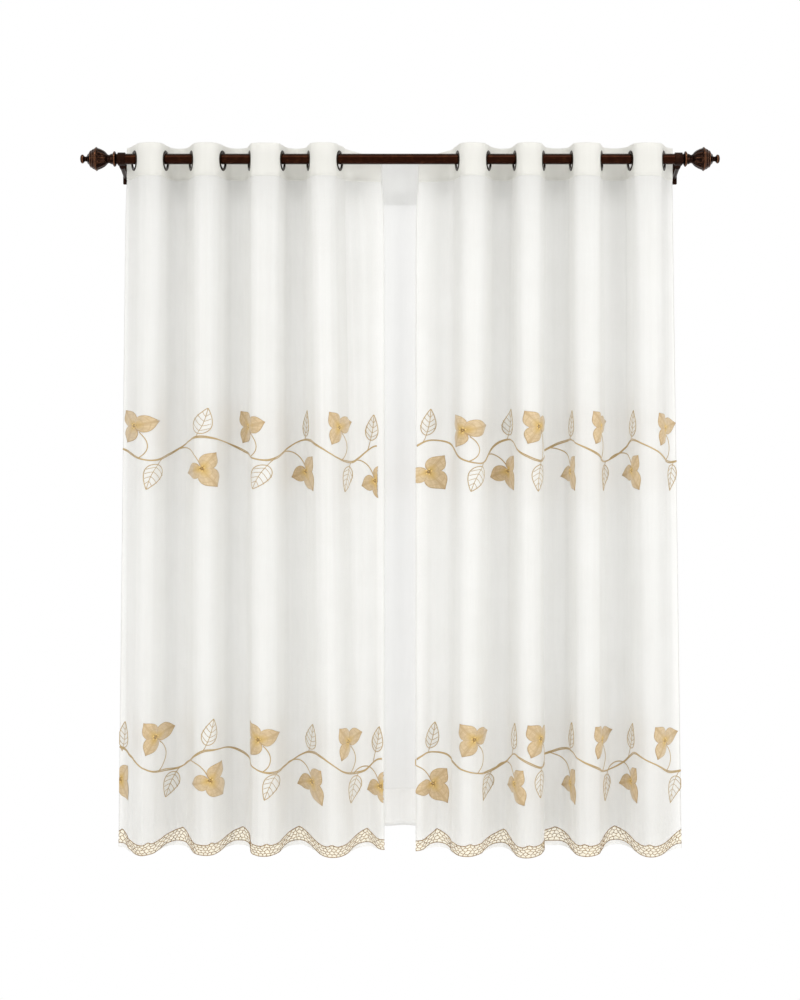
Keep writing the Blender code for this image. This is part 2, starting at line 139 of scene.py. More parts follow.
def addMesh(name, parts, material):
    # one mesh of all the parts, without the points that no face uses
    points, groups, uvs, start = [], [], [], 0
    for part in parts:
        points.append(part[0])
        for faces, faceUv in zip(part[1], part[2]):
            groups.append(faces + start)
            uvs.append(faceUv.reshape(-1, 2))
        start += len(part[0])
    points, uvs = np.concatenate(points), np.concatenate(uvs)
    used = np.zeros(len(points), bool)
    for faces in groups:
        used[faces.ravel()] = True
    renumber = np.cumsum(used) - 1
    mesh = bpy.data.meshes.new(name)
    faceList = [face for faces in groups for face in renumber[faces].tolist()]
    mesh.from_pydata(points[used].tolist(), [], faceList)
    layer = mesh.uv_layers.new(name="cloth")
    layer.data.foreach_set("uv", uvs.astype(np.float32).ravel())
    mesh.polygons.foreach_set("use_smooth", np.full(len(mesh.polygons), True))
    mesh.materials.append(material)
    piece = bpy.data.objects.new(name, mesh)
    bpy.context.scene.collection.objects.link(piece)
    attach(piece, body)
    return piece


def unit(vectors):
    return vectors / np.maximum(np.linalg.norm(vectors, axis=-1, keepdims=True), 1e-12)


def walked(points):
    # length walked along a line of points
    return np.concatenate([[0.0], np.cumsum(np.linalg.norm(np.diff(points, axis=0), axis=1))])


def evenly(points, count=40):
    # the same line, its points an equal length apart
    far = walked(points)
    stops = np.linspace(0, far[-1], count)
    return np.stack([np.interp(stops, far, points[:, 0]), np.interp(stops, far, points[:, 1])], 1)


def bezier(a, b, c, d, count=60):
    # (1-t)^3 a + 3(1-t)^2 t b + 3(1-t) t^2 c + t^3 d
    t = np.linspace(0, 1, count)[:, None]
    return (1 - t) ** 3 * a + 3 * (1 - t) ** 2 * t * b + 3 * (1 - t) * t**2 * c + t**3 * d


def smoothStep(low, high, value):
    t = np.clip((value - low) / (high - low), 0, 1)
    return t * t * (3 - 2 * t)


panel = {
    "width": 1.372, "drop": 2.036, "pitch": 0.165, "land": 0.033, "flare": 0.035,
    "hemLevel": -2.089, "hemScallop": 0.0045, "scallopDepth": 0.063,
    "headTop": 0.0415, "headBottom": -0.057, "droopTop": 0.036, "droopBottom": 0.008,
    "sideHem": 0.003, "behind": 0.0005, "patternLevel": 0.65,
}

# eyelets: offset from the middle (mm), lean of the cloth there (degrees)
# ends: offset, depth of the outer and inner end at the rod (mm)
# hem: offset, depth (mm), steepness; the folds at the hem from the outer edge inwards
hangs = {
    "left": {
        "side": -1, "outerFlare": 0.15, "evenness": 0.3,
        "eyelets": [(802, 24), (708, 10), (630, 18), (536, 15), (454, 12), (355, 12), (276, 12), (183, 17)],
        "ends": [(833, 57), (56, 38)],
        "hem": [(856, 39, 0), (773, -53, 0.25), (685, 62, 0.4), (582, -52, 0.35), (495, 64, 0.7),
                (408, -60, 0.4), (309, 64, 0.1), (202, -72, 0.35), (98, 43, 0.2), (47, 8, 0)],
    },
    "right": {
        "side": 1, "outerFlare": 0.0, "evenness": 1.0,
        "eyelets": [(796, 18), (696, 11), (608, 13), (518, 6), (433, 14), (347, 8), (267, 18), (174, 11)],
        "ends": [(832, 62), (56, 38)],
        "hem": [(855, 29, 0), (750, -67, 0.35), (665, 69, 0.4), (558, -62, 0.55), (480, 59, 1.8),
                (376, -77, 0.45), (302, 38, 0.25), (201, -62, 0.5), (111, 39, 0.2), (47, -4, 0)],
    },
}


def eyeletLine(hang):
    # centre and direction of the cloth at each eyelet, seen from above: (-sin lean, +-cos lean)
    centres = [np.array([offset * mm, 0.0]) for offset, lean in hang["eyelets"]]
    runs = [np.array([-math.sin(math.radians(lean)), (1 if k % 2 else -1) * math.cos(math.radians(lean))])
            for k, (offset, lean) in enumerate(hang["eyelets"])]
    return centres, runs


def rodLine(hang):
    # seen from above: straight through each eyelet, then a Bezier bend whose handles are as
    # long as it takes for the flat pitch between two eyelets
    land, share = panel["land"], panel["land"] / panel["pitch"]
    centres, runs = eyeletLine(hang)
    outer, inner = [np.array(end) * mm for end in hang["ends"]]
    first = centres[0] - land * runs[0]
    reach = np.linalg.norm(outer - first) / 3
    lines = [evenly(bezier(outer, outer - reach * np.array([1, 0.6]), first - reach * runs[0], first))]
    folds = [np.linspace(0, 0.5 - share, 40)]
    for k in range(7):
        a, b = centres[k] + land * runs[k], centres[k + 1] - land * runs[k + 1]
        short, long = 0.0, panel["pitch"]
        for _ in range(40):
            handle = (short + long) / 2
            bend = bezier(a, a + handle * runs[k], b - handle * runs[k + 1], b)
            if walked(bend)[-1] < panel["pitch"] - 2 * land:
                short = handle
            else:
                long = handle
        lines.append(evenly(bend))
        folds.append(np.linspace(k + 0.5 + share, k + 1.5 - share, 40))
    last = centres[7] + land * runs[7]
    reach = np.linalg.norm(inner - last) / 2
    lines.append(evenly(bezier(last, last + reach * runs[7], inner + reach * np.array([1, 0]), inner)))
    folds.append(np.linspace(7.5 + share, 9, 40))
    return np.concatenate(folds), np.concatenate(lines)


def hemLine(hang):
    # between two folds: offset = straight share with a steeper middle, depth = (1 - cos pi t) / 2,
    # later where the cloth folds back under itself
    t = np.linspace(0, 1, 80)
    lines, folds = [], []
    for k, ((x0, y0, steep), (x1, y1, _)) in enumerate(zip(hang["hem"], hang["hem"][1:])):
        run = t + steep * np.sin(2 * np.pi * t) / (2 * np.pi)
        late = t ** (1 + 1.5 * max(0, steep - 1))
        flank = np.stack([x0 + run * (x1 - x0), y0 + (1 - np.cos(np.pi * late)) / 2 * (y1 - y0)], 1)
        lines.append(evenly(flank * mm))
        folds.append(np.linspace(k, k + 1, 40))
    return np.concatenate(folds), np.concatenate(lines)


def between(table, fold):
    return np.interp(fold, table[0], table[1][:, 0]), np.interp(fold, table[0], table[1][:, 1])


def droopShare(fold):
    # 0 up to fold 7.7, then ((fold - 7.7) / 1.3)^1.2, to 1 at the free inner end
    return np.clip((fold - 7.7) / 1.3, 0, 1) ** 1.2


def foldPoint(hang, fold, level):
    # level 0 at the seam under the heading, 1 at the hem: a point runs straight from its place
    # on the rod line to its place on the hem line, and the free ends spread sooner, as
    # 1 - exp(-level / flare)
    rodX, rodY = between(hang["rodTable"], fold)
    hemX, hemY = between(hang["hemTable"], fold)
    quick = hang["outerFlare"] * np.clip(1 - fold, 0, 1) + np.clip(fold - 8, 0, 1)
    share = level + quick * (1 - np.exp(-level / panel["flare"]) - level)
    offset = rodX + share * (hemX - rodX)
    depth = rodY + level * (hemY - rodY)
    low = panel["hemLevel"] + panel["hemScallop"] * hemY / panel["scallopDepth"]
    high = panel["headBottom"] - panel["droopBottom"] * droopShare(fold)
    return np.stack([hang["side"] * offset, depth - camera["wallGap"], high + level * (low - high)], -1)


def acrossTable(hang):
    # flat distance from the outer edge for each fold number: the share of the length along
    # the folds at the pattern's level, mixed with the share of the width seen from the front
    folds = np.linspace(0, 9, 2701)
    line = foldPoint(hang, folds, np.full_like(folds, panel["patternLevel"]))
    along, seen = walked(line[:, :2]), np.abs(line[:, 0] - line[0, 0])
    mixed = hang["evenness"] * along / along[-1] + (1 - hang["evenness"]) * seen / seen[-1]
    return panel["width"] * np.maximum.accumulate(mixed), folds


for hang in hangs.values():
    hang["rodTable"], hang["hemTable"] = rodLine(hang), hemLine(hang)
    hang["acrossTable"] = acrossTable(hang)

creases = {
    # length across (m), height (m), drift down the drop, phase
    "waves": [(0.043, 0.0007, 1.3, 0.4), (0.071, 0.0010, -0.9, 2.1), (0.027, 0.00035, 2.2, 4.0)],
    "fadeIn": 0.10,
}


def creaseHeight(side, across, drop):
    # the sum of a few waves across the cloth whose phase drifts down the drop
    shape = 0
    for length, height, drift, phase in creases["waves"]:
        slide = drift * np.sin(1.9 * drop + phase) + phase * (2 + side)
        shape = shape + height * np.sin(2 * np.pi * across / length + slide)
    patchy = 0.55 + 0.45 * np.sin(5.1 * across + 1.7 * side) * np.sin(2.3 * drop + 3.0 * across)
    return shape * patchy * smoothStep(0, creases["fadeIn"], drop)


def smoothCloth(hang, across, drop):
    fold = np.interp(across, *hang["acrossTable"])
    return foldPoint(hang, fold, drop / panel["drop"])


def clothPlace(hang, across, drop, lift=0.0):
    # point of the hanging cloth for a place on the flat cloth, with the crease height and the
    # lift along the normal; the normal is the cross product of the two directions of the cloth
    across, drop = np.broadcast_arrays(np.clip(across, 0, panel["width"]), np.clip(drop, 0, panel["drop"]))
    step = 0.0008
    right = smoothCloth(hang, np.clip(across + step, 0, panel["width"]), drop)
    left = smoothCloth(hang, np.clip(across - step, 0, panel["width"]), drop)
    down = smoothCloth(hang, across, drop + step) - smoothCloth(hang, across, drop - step)
    normal = hang["side"] * unit(np.cross(right - left, down))
    rise = creaseHeight(hang["side"], across, drop) + lift
    return smoothCloth(hang, across, drop) + normal * rise[..., None], normal


def newGroup(name, inputs, outputs):
    group = bpy.data.node_groups.new(name, "ShaderNodeTree")
    for label, kind, value in inputs:
        socket = group.interface.new_socket(name=label, in_out="INPUT", socket_type=kind)
        if value is not None:
            socket.default_value = value
    for label, kind in outputs:
        group.interface.new_socket(name=label, in_out="OUTPUT", socket_type=kind)
    return group, group.nodes.new("NodeGroupInput"), group.nodes.new("NodeGroupOutput")


class Graph:
    # short calls for the nodes of one tree
    def __init__(self, tree):
        self.tree, self.nodes, self.links = tree, tree.nodes, tree.links

    def join(self, value, socket):
        if isinstance(value, bpy.types.NodeSocket):
            self.links.new(value, socket)
        else:
            socket.default_value = value

    def math(self, kind, a, b=0.0, clamp=False):
        node = self.nodes.new("ShaderNodeMath")
        node.operation, node.use_clamp = kind, clamp
        self.join(a, node.inputs[0])
        self.join(b, node.inputs[1])
        return node.outputs[0]

    def stretch(self, vector, scale):
        node = self.nodes.new("ShaderNodeMapping")
        self.join(vector, node.inputs["Vector"])
        node.inputs["Scale"].default_value = scale
        return node.outputs[0]

    def split(self, vector):
        node = self.nodes.new("ShaderNodeSeparateXYZ")
        self.join(vector, node.inputs[0])
        return node.outputs

    def noise(self, vector, scale, detail=2.0, rough=0.5):
        node = self.nodes.new("ShaderNodeTexNoise")
        self.join(vector, node.inputs["Vector"])
        node.inputs["Scale"].default_value = scale
        node.inputs["Detail"].default_value = detail
        node.inputs["Roughness"].default_value = rough
        return node.outputs["Fac"]

    def spread(self, value, low, high, toLow=0.0, toHigh=1.0):
        # toLow + (value - low) / (high - low) * (toHigh - toLow), clamped
        node = self.nodes.new("ShaderNodeMapRange")
        self.join(value, node.inputs["Value"])
        for label, number in {"From Min": low, "From Max": high, "To Min": toLow, "To Max": toHigh}.items():
            self.join(number, node.inputs[label])
        return node.outputs[0]

    def blend(self, share, a, b):
        node = self.nodes.new("ShaderNodeMix")
        node.data_type = "RGBA"
        self.join(share, node.inputs[0])
        for value, socket in ((a, node.inputs[6]), (b, node.inputs[7])):
            self.join((*value, 1) if isinstance(value, tuple) and len(value) == 3 else value, socket)
        return node.outputs[2]

    def bump(self, height, strength, distance):
        node = self.nodes.new("ShaderNodeBump")
        self.join(height, node.inputs["Height"])
        node.inputs["Strength"].default_value = strength
        node.inputs["Distance"].default_value = distance
        return node.outputs[0]

    def place(self, group, values):
        node = self.nodes.new("ShaderNodeGroup")
        node.node_tree = group
        for label, value in values.items():
            self.join(value, node.inputs[label])
        return node.outputs


def weaveGroup():
    # a plain weave: sine-squared threads across and down in turn, with thicker threads here
    # and there and wider streaks down the cloth, from noise drawn out along the threads
    group, given, result = newGroup(
        "plainWeave",
        [("Place", "NodeSocketVector", None), ("Pitch", "NodeSocketFloat", 0.0006),
         ("Openness", "NodeSocketFloat", 0.3), ("Slub", "NodeSocketFloat", 0.5)],
        [("Height", "NodeSocketFloat"), ("Cover", "NodeSocketFloat"), ("Tone", "NodeSocketFloat")])
    g = Graph(group)
    place = g.split(given.outputs["Place"])
    turns = [g.math("DIVIDE", place[k], given.outputs["Pitch"]) for k in (0, 1)]
    waves = [g.math("SINE", g.math("MULTIPLY", turn, math.pi)) for turn in turns]
    warp, weft = [g.math("MULTIPLY", wave, wave) for wave in waves]
    crossing = g.math("MULTIPLY", waves[0], waves[1])
    height = g.math("ADD", g.math("MAXIMUM", warp, weft), g.math("MULTIPLY", crossing, 0.35))
    downSlub = g.noise(g.stretch(given.outputs["Place"], (420, 9, 1)), 1.0, 3.0)
    overSlub = g.noise(g.stretch(given.outputs["Place"], (7, 380, 1)), 1.0, 3.0)
    slub = g.math("MAXIMUM", g.spread(downSlub, 0.5, 0.75), g.spread(overSlub, 0.55, 0.78))
    streak = g.noise(g.stretch(given.outputs["Place"], (58, 1.1, 1)), 1.0, 3.0)
    slub = g.math("MULTIPLY", slub, given.outputs["Slub"])
    tone = g.math("ADD", slub, g.math("MULTIPLY", g.spread(streak, 0.42, 0.62), given.outputs["Slub"]))
    solid = g.math("SUBTRACT", 1.0, given.outputs["Openness"])
    filled = g.math("MULTIPLY", g.math("MAXIMUM", warp, weft), given.outputs["Openness"])
    cover = g.math("ADD", g.math("ADD", solid, filled), g.math("MULTIPLY", slub, 0.12), clamp=True)
    g.join(height, result.inputs["Height"])
    g.join(cover, result.inputs["Cover"])
    g.join(tone, result.inputs["Tone"])
    return group


def twistGroup():
    # slanting plies of a thread: sine of (round the thread + run along it), with loose fibres
    group, given, result = newGroup(
        "threadTwist",
        [("Place", "NodeSocketVector", None), ("Turns", "NodeSocketFloat", 420.0)],
        [("Height", "NodeSocketFloat"), ("Tone", "NodeSocketFloat")])
    g = Graph(group)
    place = g.split(given.outputs["Place"])
    slant = g.math("ADD", g.math("MULTIPLY", place[0], 4 * math.pi),
                   g.math("MULTIPLY", place[1], g.math("MULTIPLY", given.outputs["Turns"], 2 * math.pi)))
    plies = g.spread(g.math("SINE", slant), -1.0, 1.0)
    fibre = g.noise(g.stretch(given.outputs["Place"], (3, 160, 1)), 1.0, 2.0)
    g.join(plies, result.inputs["Height"])
    # Tone: low between the plies, where the thread takes its painted shade, and varied by the loose fibres
    tone = g.math("ADD", g.math("MULTIPLY", plies, 0.45), g.math("MULTIPLY", fibre, 0.55))
    g.join(tone, result.inputs["Tone"])
    return group


def wearGroup():
    # brushed streaks along X and soft patches, 0 to 1
    group, given, result = newGroup(
        "brushedWear",
        [("Place", "NodeSocketVector", None)],
        [("Streak", "NodeSocketFloat"), ("Patch", "NodeSocketFloat")])
    g = Graph(group)
    streak = g.noise(g.stretch(given.outputs["Place"], (14, 620, 620)), 1.0, 3.0)
    g.join(g.spread(streak, 0.3, 0.7), result.inputs["Streak"])
    g.join(g.spread(g.noise(given.outputs["Place"], 70.0, 3.0), 0.45, 0.75), result.inputs["Patch"])
    return group


plainWeave, threadTwist, brushedWear = weaveGroup(), twistGroup(), wearGroup()


def newMaterial(name):
    material = bpy.data.materials.new(name)
    material.use_nodes = True
    g = Graph(material.node_tree)
    g.nodes.clear()
    return material, g, g.nodes.new("ShaderNodeOutputMaterial"), g.nodes.new("ShaderNodeTexCoord")


def clothMaterial(name, colour, shade, cover, openness, pitch, through, roughness=0.8, hem=None):
    # colour leaning to shade by slubs and soft clouds; cover = least share of the surface
    # that the threads fill; through = share of light that is passed on from behind;
    # hem = height under which the cloth is doubled, and a whiter colour painted there as painted brightness of the
    # doubled layer
    material, g, out, where = newMaterial(name)
    weave = g.place(plainWeave, {"Place": where.outputs["UV"], "Pitch": pitch, "Openness": openness, "Slub": 0.6})
    clouds = g.spread(g.noise(where.outputs["Object"], 9.0, 3.0), 0.35, 0.7, 0.0, 0.45)
    tone = g.math("ADD", g.math("MULTIPLY", weave["Tone"], 0.35), clouds, clamp=True)
    paint = g.blend(tone, colour, shade)
    # painted brightness: under the hem height the colour turns whiter for the brighter look of the doubled cloth
    if hem:
        height = g.split(where.outputs["Object"])[2]
        paint = g.blend(g.spread(height, hem[0] - 0.003, hem[0], 1.0, 0.0), paint, hem[1])
    normal = g.bump(weave["Height"], 0.35, 0.00012)
    face = g.nodes.new("ShaderNodeBsdfPrincipled")
    g.join(paint, face.inputs["Base Color"])
    g.join(g.spread(weave["Height"], 0.0, 1.3, roughness - 0.12, roughness + 0.1), face.inputs["Roughness"])
    face.inputs["Specular IOR Level"].default_value = 0.25
    face.inputs["Sheen Weight"].default_value = 0.08
    g.join(normal, face.inputs["Normal"])
    glow = g.nodes.new("ShaderNodeBsdfTranslucent")
    g.join(paint, glow.inputs["Color"])
    thread, cloth = g.nodes.new("ShaderNodeMixShader"), g.nodes.new("ShaderNodeMixShader")
    thread.inputs[0].default_value = through
    g.links.new(face.outputs[0], thread.inputs[1])
    g.links.new(glow.outputs[0], thread.inputs[2])
    clear = g.nodes.new("ShaderNodeBsdfTransparent")
    g.join(g.math("MULTIPLY", weave["Cover"], cover), cloth.inputs[0])
    g.links.new(clear.outputs[0], cloth.inputs[1])
    g.links.new(thread.outputs[0], cloth.inputs[2])
    g.links.new(cloth.outputs[0], out.inputs["Surface"])
    return material


def threadMaterial(name, colour, grooveShade, roughness=0.5, turns=420.0, sheen=0.3):
    # colour on the plies of the thread and a darker colour between them: painted shade in the grooves between the
    # plies, mixed with the random tone of loose fibres
    material, g, out, where = newMaterial(name)
    twist = g.place(threadTwist, {"Place": where.outputs["UV"], "Turns": turns})
    face = g.nodes.new("ShaderNodeBsdfPrincipled")
    g.join(g.blend(twist["Tone"], grooveShade, colour), face.inputs["Base Color"])
    g.join(g.spread(twist["Tone"], 0.2, 0.8, roughness + 0.12, roughness - 0.08), face.inputs["Roughness"])
    face.inputs["Sheen Weight"].default_value = sheen
    face.inputs["Sheen Roughness"].default_value = 0.4
    g.join(g.bump(twist["Height"], 0.6, 0.0003), face.inputs["Normal"])
    g.links.new(face.outputs[0], out.inputs["Surface"])
    return material


# edge: a darker rim at the tips, and painted shade along the sides where neighbouring petals overlap
petalColours = {
    "thread": (0.67, 0.515, 0.315), "shade": (0.47, 0.335, 0.175), "cloud": (0.69, 0.55, 0.345),
    "vein": (0.44, 0.295, 0.14), "edge": (0.40, 0.25, 0.10), "heart": (0.57, 0.37, 0.08), "core": (0.24, 0.125, 0.03),
}


def petalMaterial():
    # satin stitches run out from the flower's centre, with a darker midrib and heart, a darker
    # edge that is a rim thread at the tip and painted shade along the sides where neighbouring
    # petals overlap, and four slanting side veins a side: a vein lies where 3.6 * out - 1.3 * |side|
    # is a whole number and a half
    material, g, out, where = newMaterial("petalStitch")
    place = g.split(where.outputs["UV"])
    away = g.math("ABSOLUTE", place[0])
    run = g.math("SUBTRACT", g.math("MULTIPLY", place[1], 3.6), g.math("MULTIPLY", away, 1.3))
    saw = g.math("ABSOLUTE", g.math("SUBTRACT", g.math("FRACT", run), 0.5))
    sideVein = g.spread(saw, 0.0, 0.14, 1.0, 0.0)
    rib = g.spread(away, 0.0, 0.09, 1.0, 0.0)
    vein = g.math("MAXIMUM", rib, g.math("MULTIPLY", sideVein, 0.75))
    # the edge mask: a rim at the tip, and painted shade along the sides where petals overlap
    edge = g.math("MAXIMUM", g.spread(place[1], 0.93, 0.985), g.spread(away, 0.7, 0.97))
    heart, core = g.spread(place[1], 0.1, 0.55, 1.0, 0.0), g.spread(place[1], 0.06, 0.19, 1.0, 0.0)
    stitches = g.noise(g.stretch(where.outputs["UV"], (10, 1.3, 1)), 1.0, 4.0, 0.7)
    clouds = g.noise(where.outputs["Object"], 26.0, 3.0)
    colour = g.blend(g.spread(stitches, 0.36, 0.62), petalColours["thread"], petalColours["shade"])
    colour = g.blend(g.spread(clouds, 0.35, 0.7, 0.0, 0.5), colour, petalColours["cloud"])
    for mask, share, label in ((vein, 0.7, "vein"), (edge, 0.7, "edge"), (heart, 0.9, "heart"), (core, 0.9, "core")):
        colour = g.blend(g.math("MULTIPLY", mask, share), colour, petalColours[label])
    face = g.nodes.new("ShaderNodeBsdfPrincipled")
    g.join(colour, face.inputs["Base Color"])
    g.join(g.spread(stitches, 0.25, 0.75, 0.62, 0.44), face.inputs["Roughness"])
    face.inputs["Sheen Weight"].default_value = 0.25
    height = g.math("ADD", g.math("MULTIPLY", stitches, 0.6), g.math("MULTIPLY", vein, 0.5))
    g.join(g.bump(height, 0.7, 0.0006), face.inputs["Normal"])
    g.links.new(face.outputs[0], out.inputs["Surface"])
    return material


def bronzeMaterial(name, dark, copper, rubbed, roughness=0.34, ridges=None):
    # dark oiled bronze rubbed to copper in streaks; ridges: flutes round the piece, the
    # stretch they cover and the places of its raised rings, as lengths along the profile; their
    # copper is partly wear on the high points and partly painted highlight
    material, g, out, where = newMaterial(name)
    wear = g.place(brushedWear, {"Place": where.outputs["Object"]})
    wearAndHighlight = g.math("MULTIPLY", g.math("MULTIPLY", wear["Streak"], wear["Patch"]), rubbed)
    if ridges:
        # copper on the flute crests and raised rings: partly wear on the high points, partly painted highlight
        place = g.split(where.outputs["UV"])
        wave = g.math("COSINE", g.math("MULTIPLY", place[0], 2 * math.pi * ridges["flutes"]))
        begins, ends = g.spread(place[1], *ridges["start"]), g.spread(place[1], *ridges["end"], 1.0, 0.0)
        crest = g.math("MULTIPLY", g.spread(wave, 0.7, 1.0), g.math("MULTIPLY", begins, ends))
        wearAndHighlight = g.math("MAXIMUM", wearAndHighlight, g.math("MULTIPLY", crest, 0.22))
        for middle, half in ridges["rings"]:
            gap = g.math("ABSOLUTE", g.math("SUBTRACT", place[1], middle))
            wearAndHighlight = g.math("MAXIMUM", wearAndHighlight, g.math("MULTIPLY", g.spread(gap, 0.0, half, 1.0, 0.0), 0.6))
        wearAndHighlight = g.math("MULTIPLY", wearAndHighlight, g.spread(wear["Patch"], 0.0, 1.0, 0.75, 1.0))
    face = g.nodes.new("ShaderNodeBsdfPrincipled")
    g.join(g.blend(wearAndHighlight, dark, copper), face.inputs["Base Color"])
    face.inputs["Metallic"].default_value = 0.88
    face.inputs["Specular IOR Level"].default_value = 0.3
    g.join(g.spread(wear["Streak"], 0.0, 1.0, roughness - 0.06, roughness + 0.1), face.inputs["Roughness"])
    g.join(g.bump(wear["Streak"], 0.12, 0.0003), face.inputs["Normal"])
    g.links.new(face.outputs[0], out.inputs["Surface"])
    return material


def paintMaterial():
    # white lacquer, faintly clouded and speckled
    material, g, out, where = newMaterial("whiteLacquer")
    speckle = g.noise(where.outputs["Object"], 900.0, 2.0)
    face = g.nodes.new("ShaderNodeBsdfPrincipled")
    clouds = g.noise(where.outputs["Object"], 20.0)
    g.join(g.blend(clouds, (0.78, 0.78, 0.76), (0.86, 0.86, 0.84)), face.inputs["Base Color"])
    g.join(g.spread(speckle, 0.3, 0.7, 0.28, 0.4), face.inputs["Roughness"])
    g.join(g.bump(speckle, 0.08, 0.0002), face.inputs["Normal"])
    g.links.new(face.outputs[0], out.inputs["Surface"])
    return material


voileCloth = clothMaterial(
    "whiteVoile", (0.872, 0.87, 0.855), (0.826, 0.822, 0.80), cover=0.985, openness=0.13, pitch=0.00055, through=0.48)
headingCloth = clothMaterial(
    "headingVoile", (0.935, 0.93, 0.90), (0.895, 0.888, 0.855), cover=0.995, openness=0.05, pitch=0.00055,
    through=0.5)
# the whiter hem colour of the plain sheer is painted brightness of its doubled hem
plainCloth = clothMaterial(
    "plainSheerVoile", (0.79, 0.79, 0.78), (0.75, 0.75, 0.735), cover=0.64, openness=0.2, pitch=0.0005, through=0.06,
    hem=(-1.919, (0.93, 0.93, 0.92)))
whiteThread = clothMaterial(
    "whiteThread", (0.87, 0.87, 0.855), (0.80, 0.80, 0.78), cover=1.0, openness=0.0, pitch=0.0004, through=0.45)
whiteSatin = clothMaterial(
    "whiteSatin", (0.935, 0.93, 0.90), (0.91, 0.90, 0.87), cover=1.0, openness=0.0, pitch=0.0009, through=0.3,
    roughness=0.55)
# each thread's second colour is its painted shade between the plies
goldThread = threadMaterial("goldThread", (0.58, 0.425, 0.21), (0.40, 0.275, 0.12), roughness=0.46)
netThread = threadMaterial("netThread", (0.35, 0.182, 0.042), (0.21, 0.104, 0.02), turns=600.0)
beadThread = threadMaterial(
    "beadThread", (0.92, 0.70, 0.30), (0.66, 0.44, 0.13), roughness=0.3, turns=160.0, sheen=0.1)
petalStitch = petalMaterial()
netCream = clothMaterial(
    "netGroundThread", (1.0, 0.92, 0.68), (0.97, 0.87, 0.60), cover=0.36, openness=0.1, pitch=0.0016, through=0.4)
bronze = bronzeMaterial("oiledBronze", (0.022, 0.0048, 0.0012), (0.12, 0.042, 0.014), rubbed=0.35, roughness=0.24)
bracketBronze = bronzeMaterial(
    "bracketBronze", (0.016, 0.0045, 0.0018), (0.12, 0.05, 0.024), rubbed=0.35, roughness=0.42)
ringBronze = bronzeMaterial("ringBronze", (0.018, 0.0105, 0.006), (0.09, 0.058, 0.033), rubbed=0.35, roughness=0.3)
# flute crests and raised rings that take copper: partly wear, partly painted highlight
finialRidges = {
    "flutes": 12, "start": (0.054, 0.064), "end": (0.084, 0.0915),
    "rings": [(0.0285, 0.0045), (0.0953, 0.0035), (0.1025, 0.002), (0.1095, 0.002), (0.117, 0.002), (0.154, 0.004)],
}
finialBronze = bronzeMaterial(
    "finialBronze", (0.0105, 0.0032, 0.0013), (0.30, 0.125, 0.06), rubbed=0.3, roughness=0.2, ridges=finialRidges)
lacquer = paintMaterial()
print("materials made")


# the band between the net's edges (m), its cells, its threads, its ground
net = {
    "high": 0.030, "peak": 0.026, "arch": 0.014, "bump": 0.006, "aboveHem": 0.0006,
    "rows": 4, "cell": 0.0205, "even": 0.35, "zigzag": 0.2, "uneven": 0.2, "jitter": 0.44, "seed": 11,
    "inset": 0.0006, "wide": 0.0008, "thick": 0.0008, "lift": 0.0006,
    "edgeWide": {0.0: 0.000792, 1.0: 0.001012}, "edgeThick": 0.0011, "edgeLift": 0.0005, "edgeStep": 0.003,
    "groundLift": 0.00045, "groundUnder": -0.0004, "groundInset": 0.0004, "groundColumns": 520,
}
# fold number of each cusp, from the outer edge inwards
cusps = {"left": [-1.6, 0.1, 2.15, 4.1, 6.0, 8.0, 10.2], "right": [0.0, 2.05, 4.03, 5.9, 8.0, 10.2]}


def netEdges(hang, side, across):
    # lower and upper edge of the band above the hem; t runs 0 to 1 from cusp to cusp:
    # lower = arch * ((1 + cos 2 pi t) / 2)^1.5,
    # upper = high + peak * (1 - sin pi t)^2 + bump * exp(-((t - 0.5) / 0.03)^2)
    fold = np.interp(across, *hang["acrossTable"])
    marks = np.array(cusps[side])
    k = np.clip(np.searchsorted(marks, fold, side="right") - 1, 0, len(marks) - 2)
    t = np.clip((fold - marks[k]) / (marks[k + 1] - marks[k]), 0, 1)
    lower = net["arch"] * ((1 + np.cos(2 * np.pi * t)) / 2) ** 1.5
    upper = net["high"] + net["peak"] * (1 - np.sin(np.pi * t)) ** 2
    upper = upper + net["bump"] * np.exp(-((t - 0.5) / 0.03) ** 2)
    return lower, upper


def onBand(hang, side, across, share):
    # share 0 at the band's lower edge and 1 at its upper edge
    lower, upper = netEdges(hang, side, across)
    return panel["drop"] - net["aboveHem"] - lower - share * (upper - lower)


# grid of a panel; inset = place of the extra columns close to an edge; tuck = how far the cloth
# and the strip below it reach under the net; shaped = drop below which the rows follow the net
clothGrid = {
    "columns": 440, "rows": 132, "hemColumns": 8, "stripRows": 5, "inset": (0.0003, 0.0008), "hemStart": 0.0002,
    "tuck": 0.004, "stripTuck": 0.003, "shaped": 1.9,
}


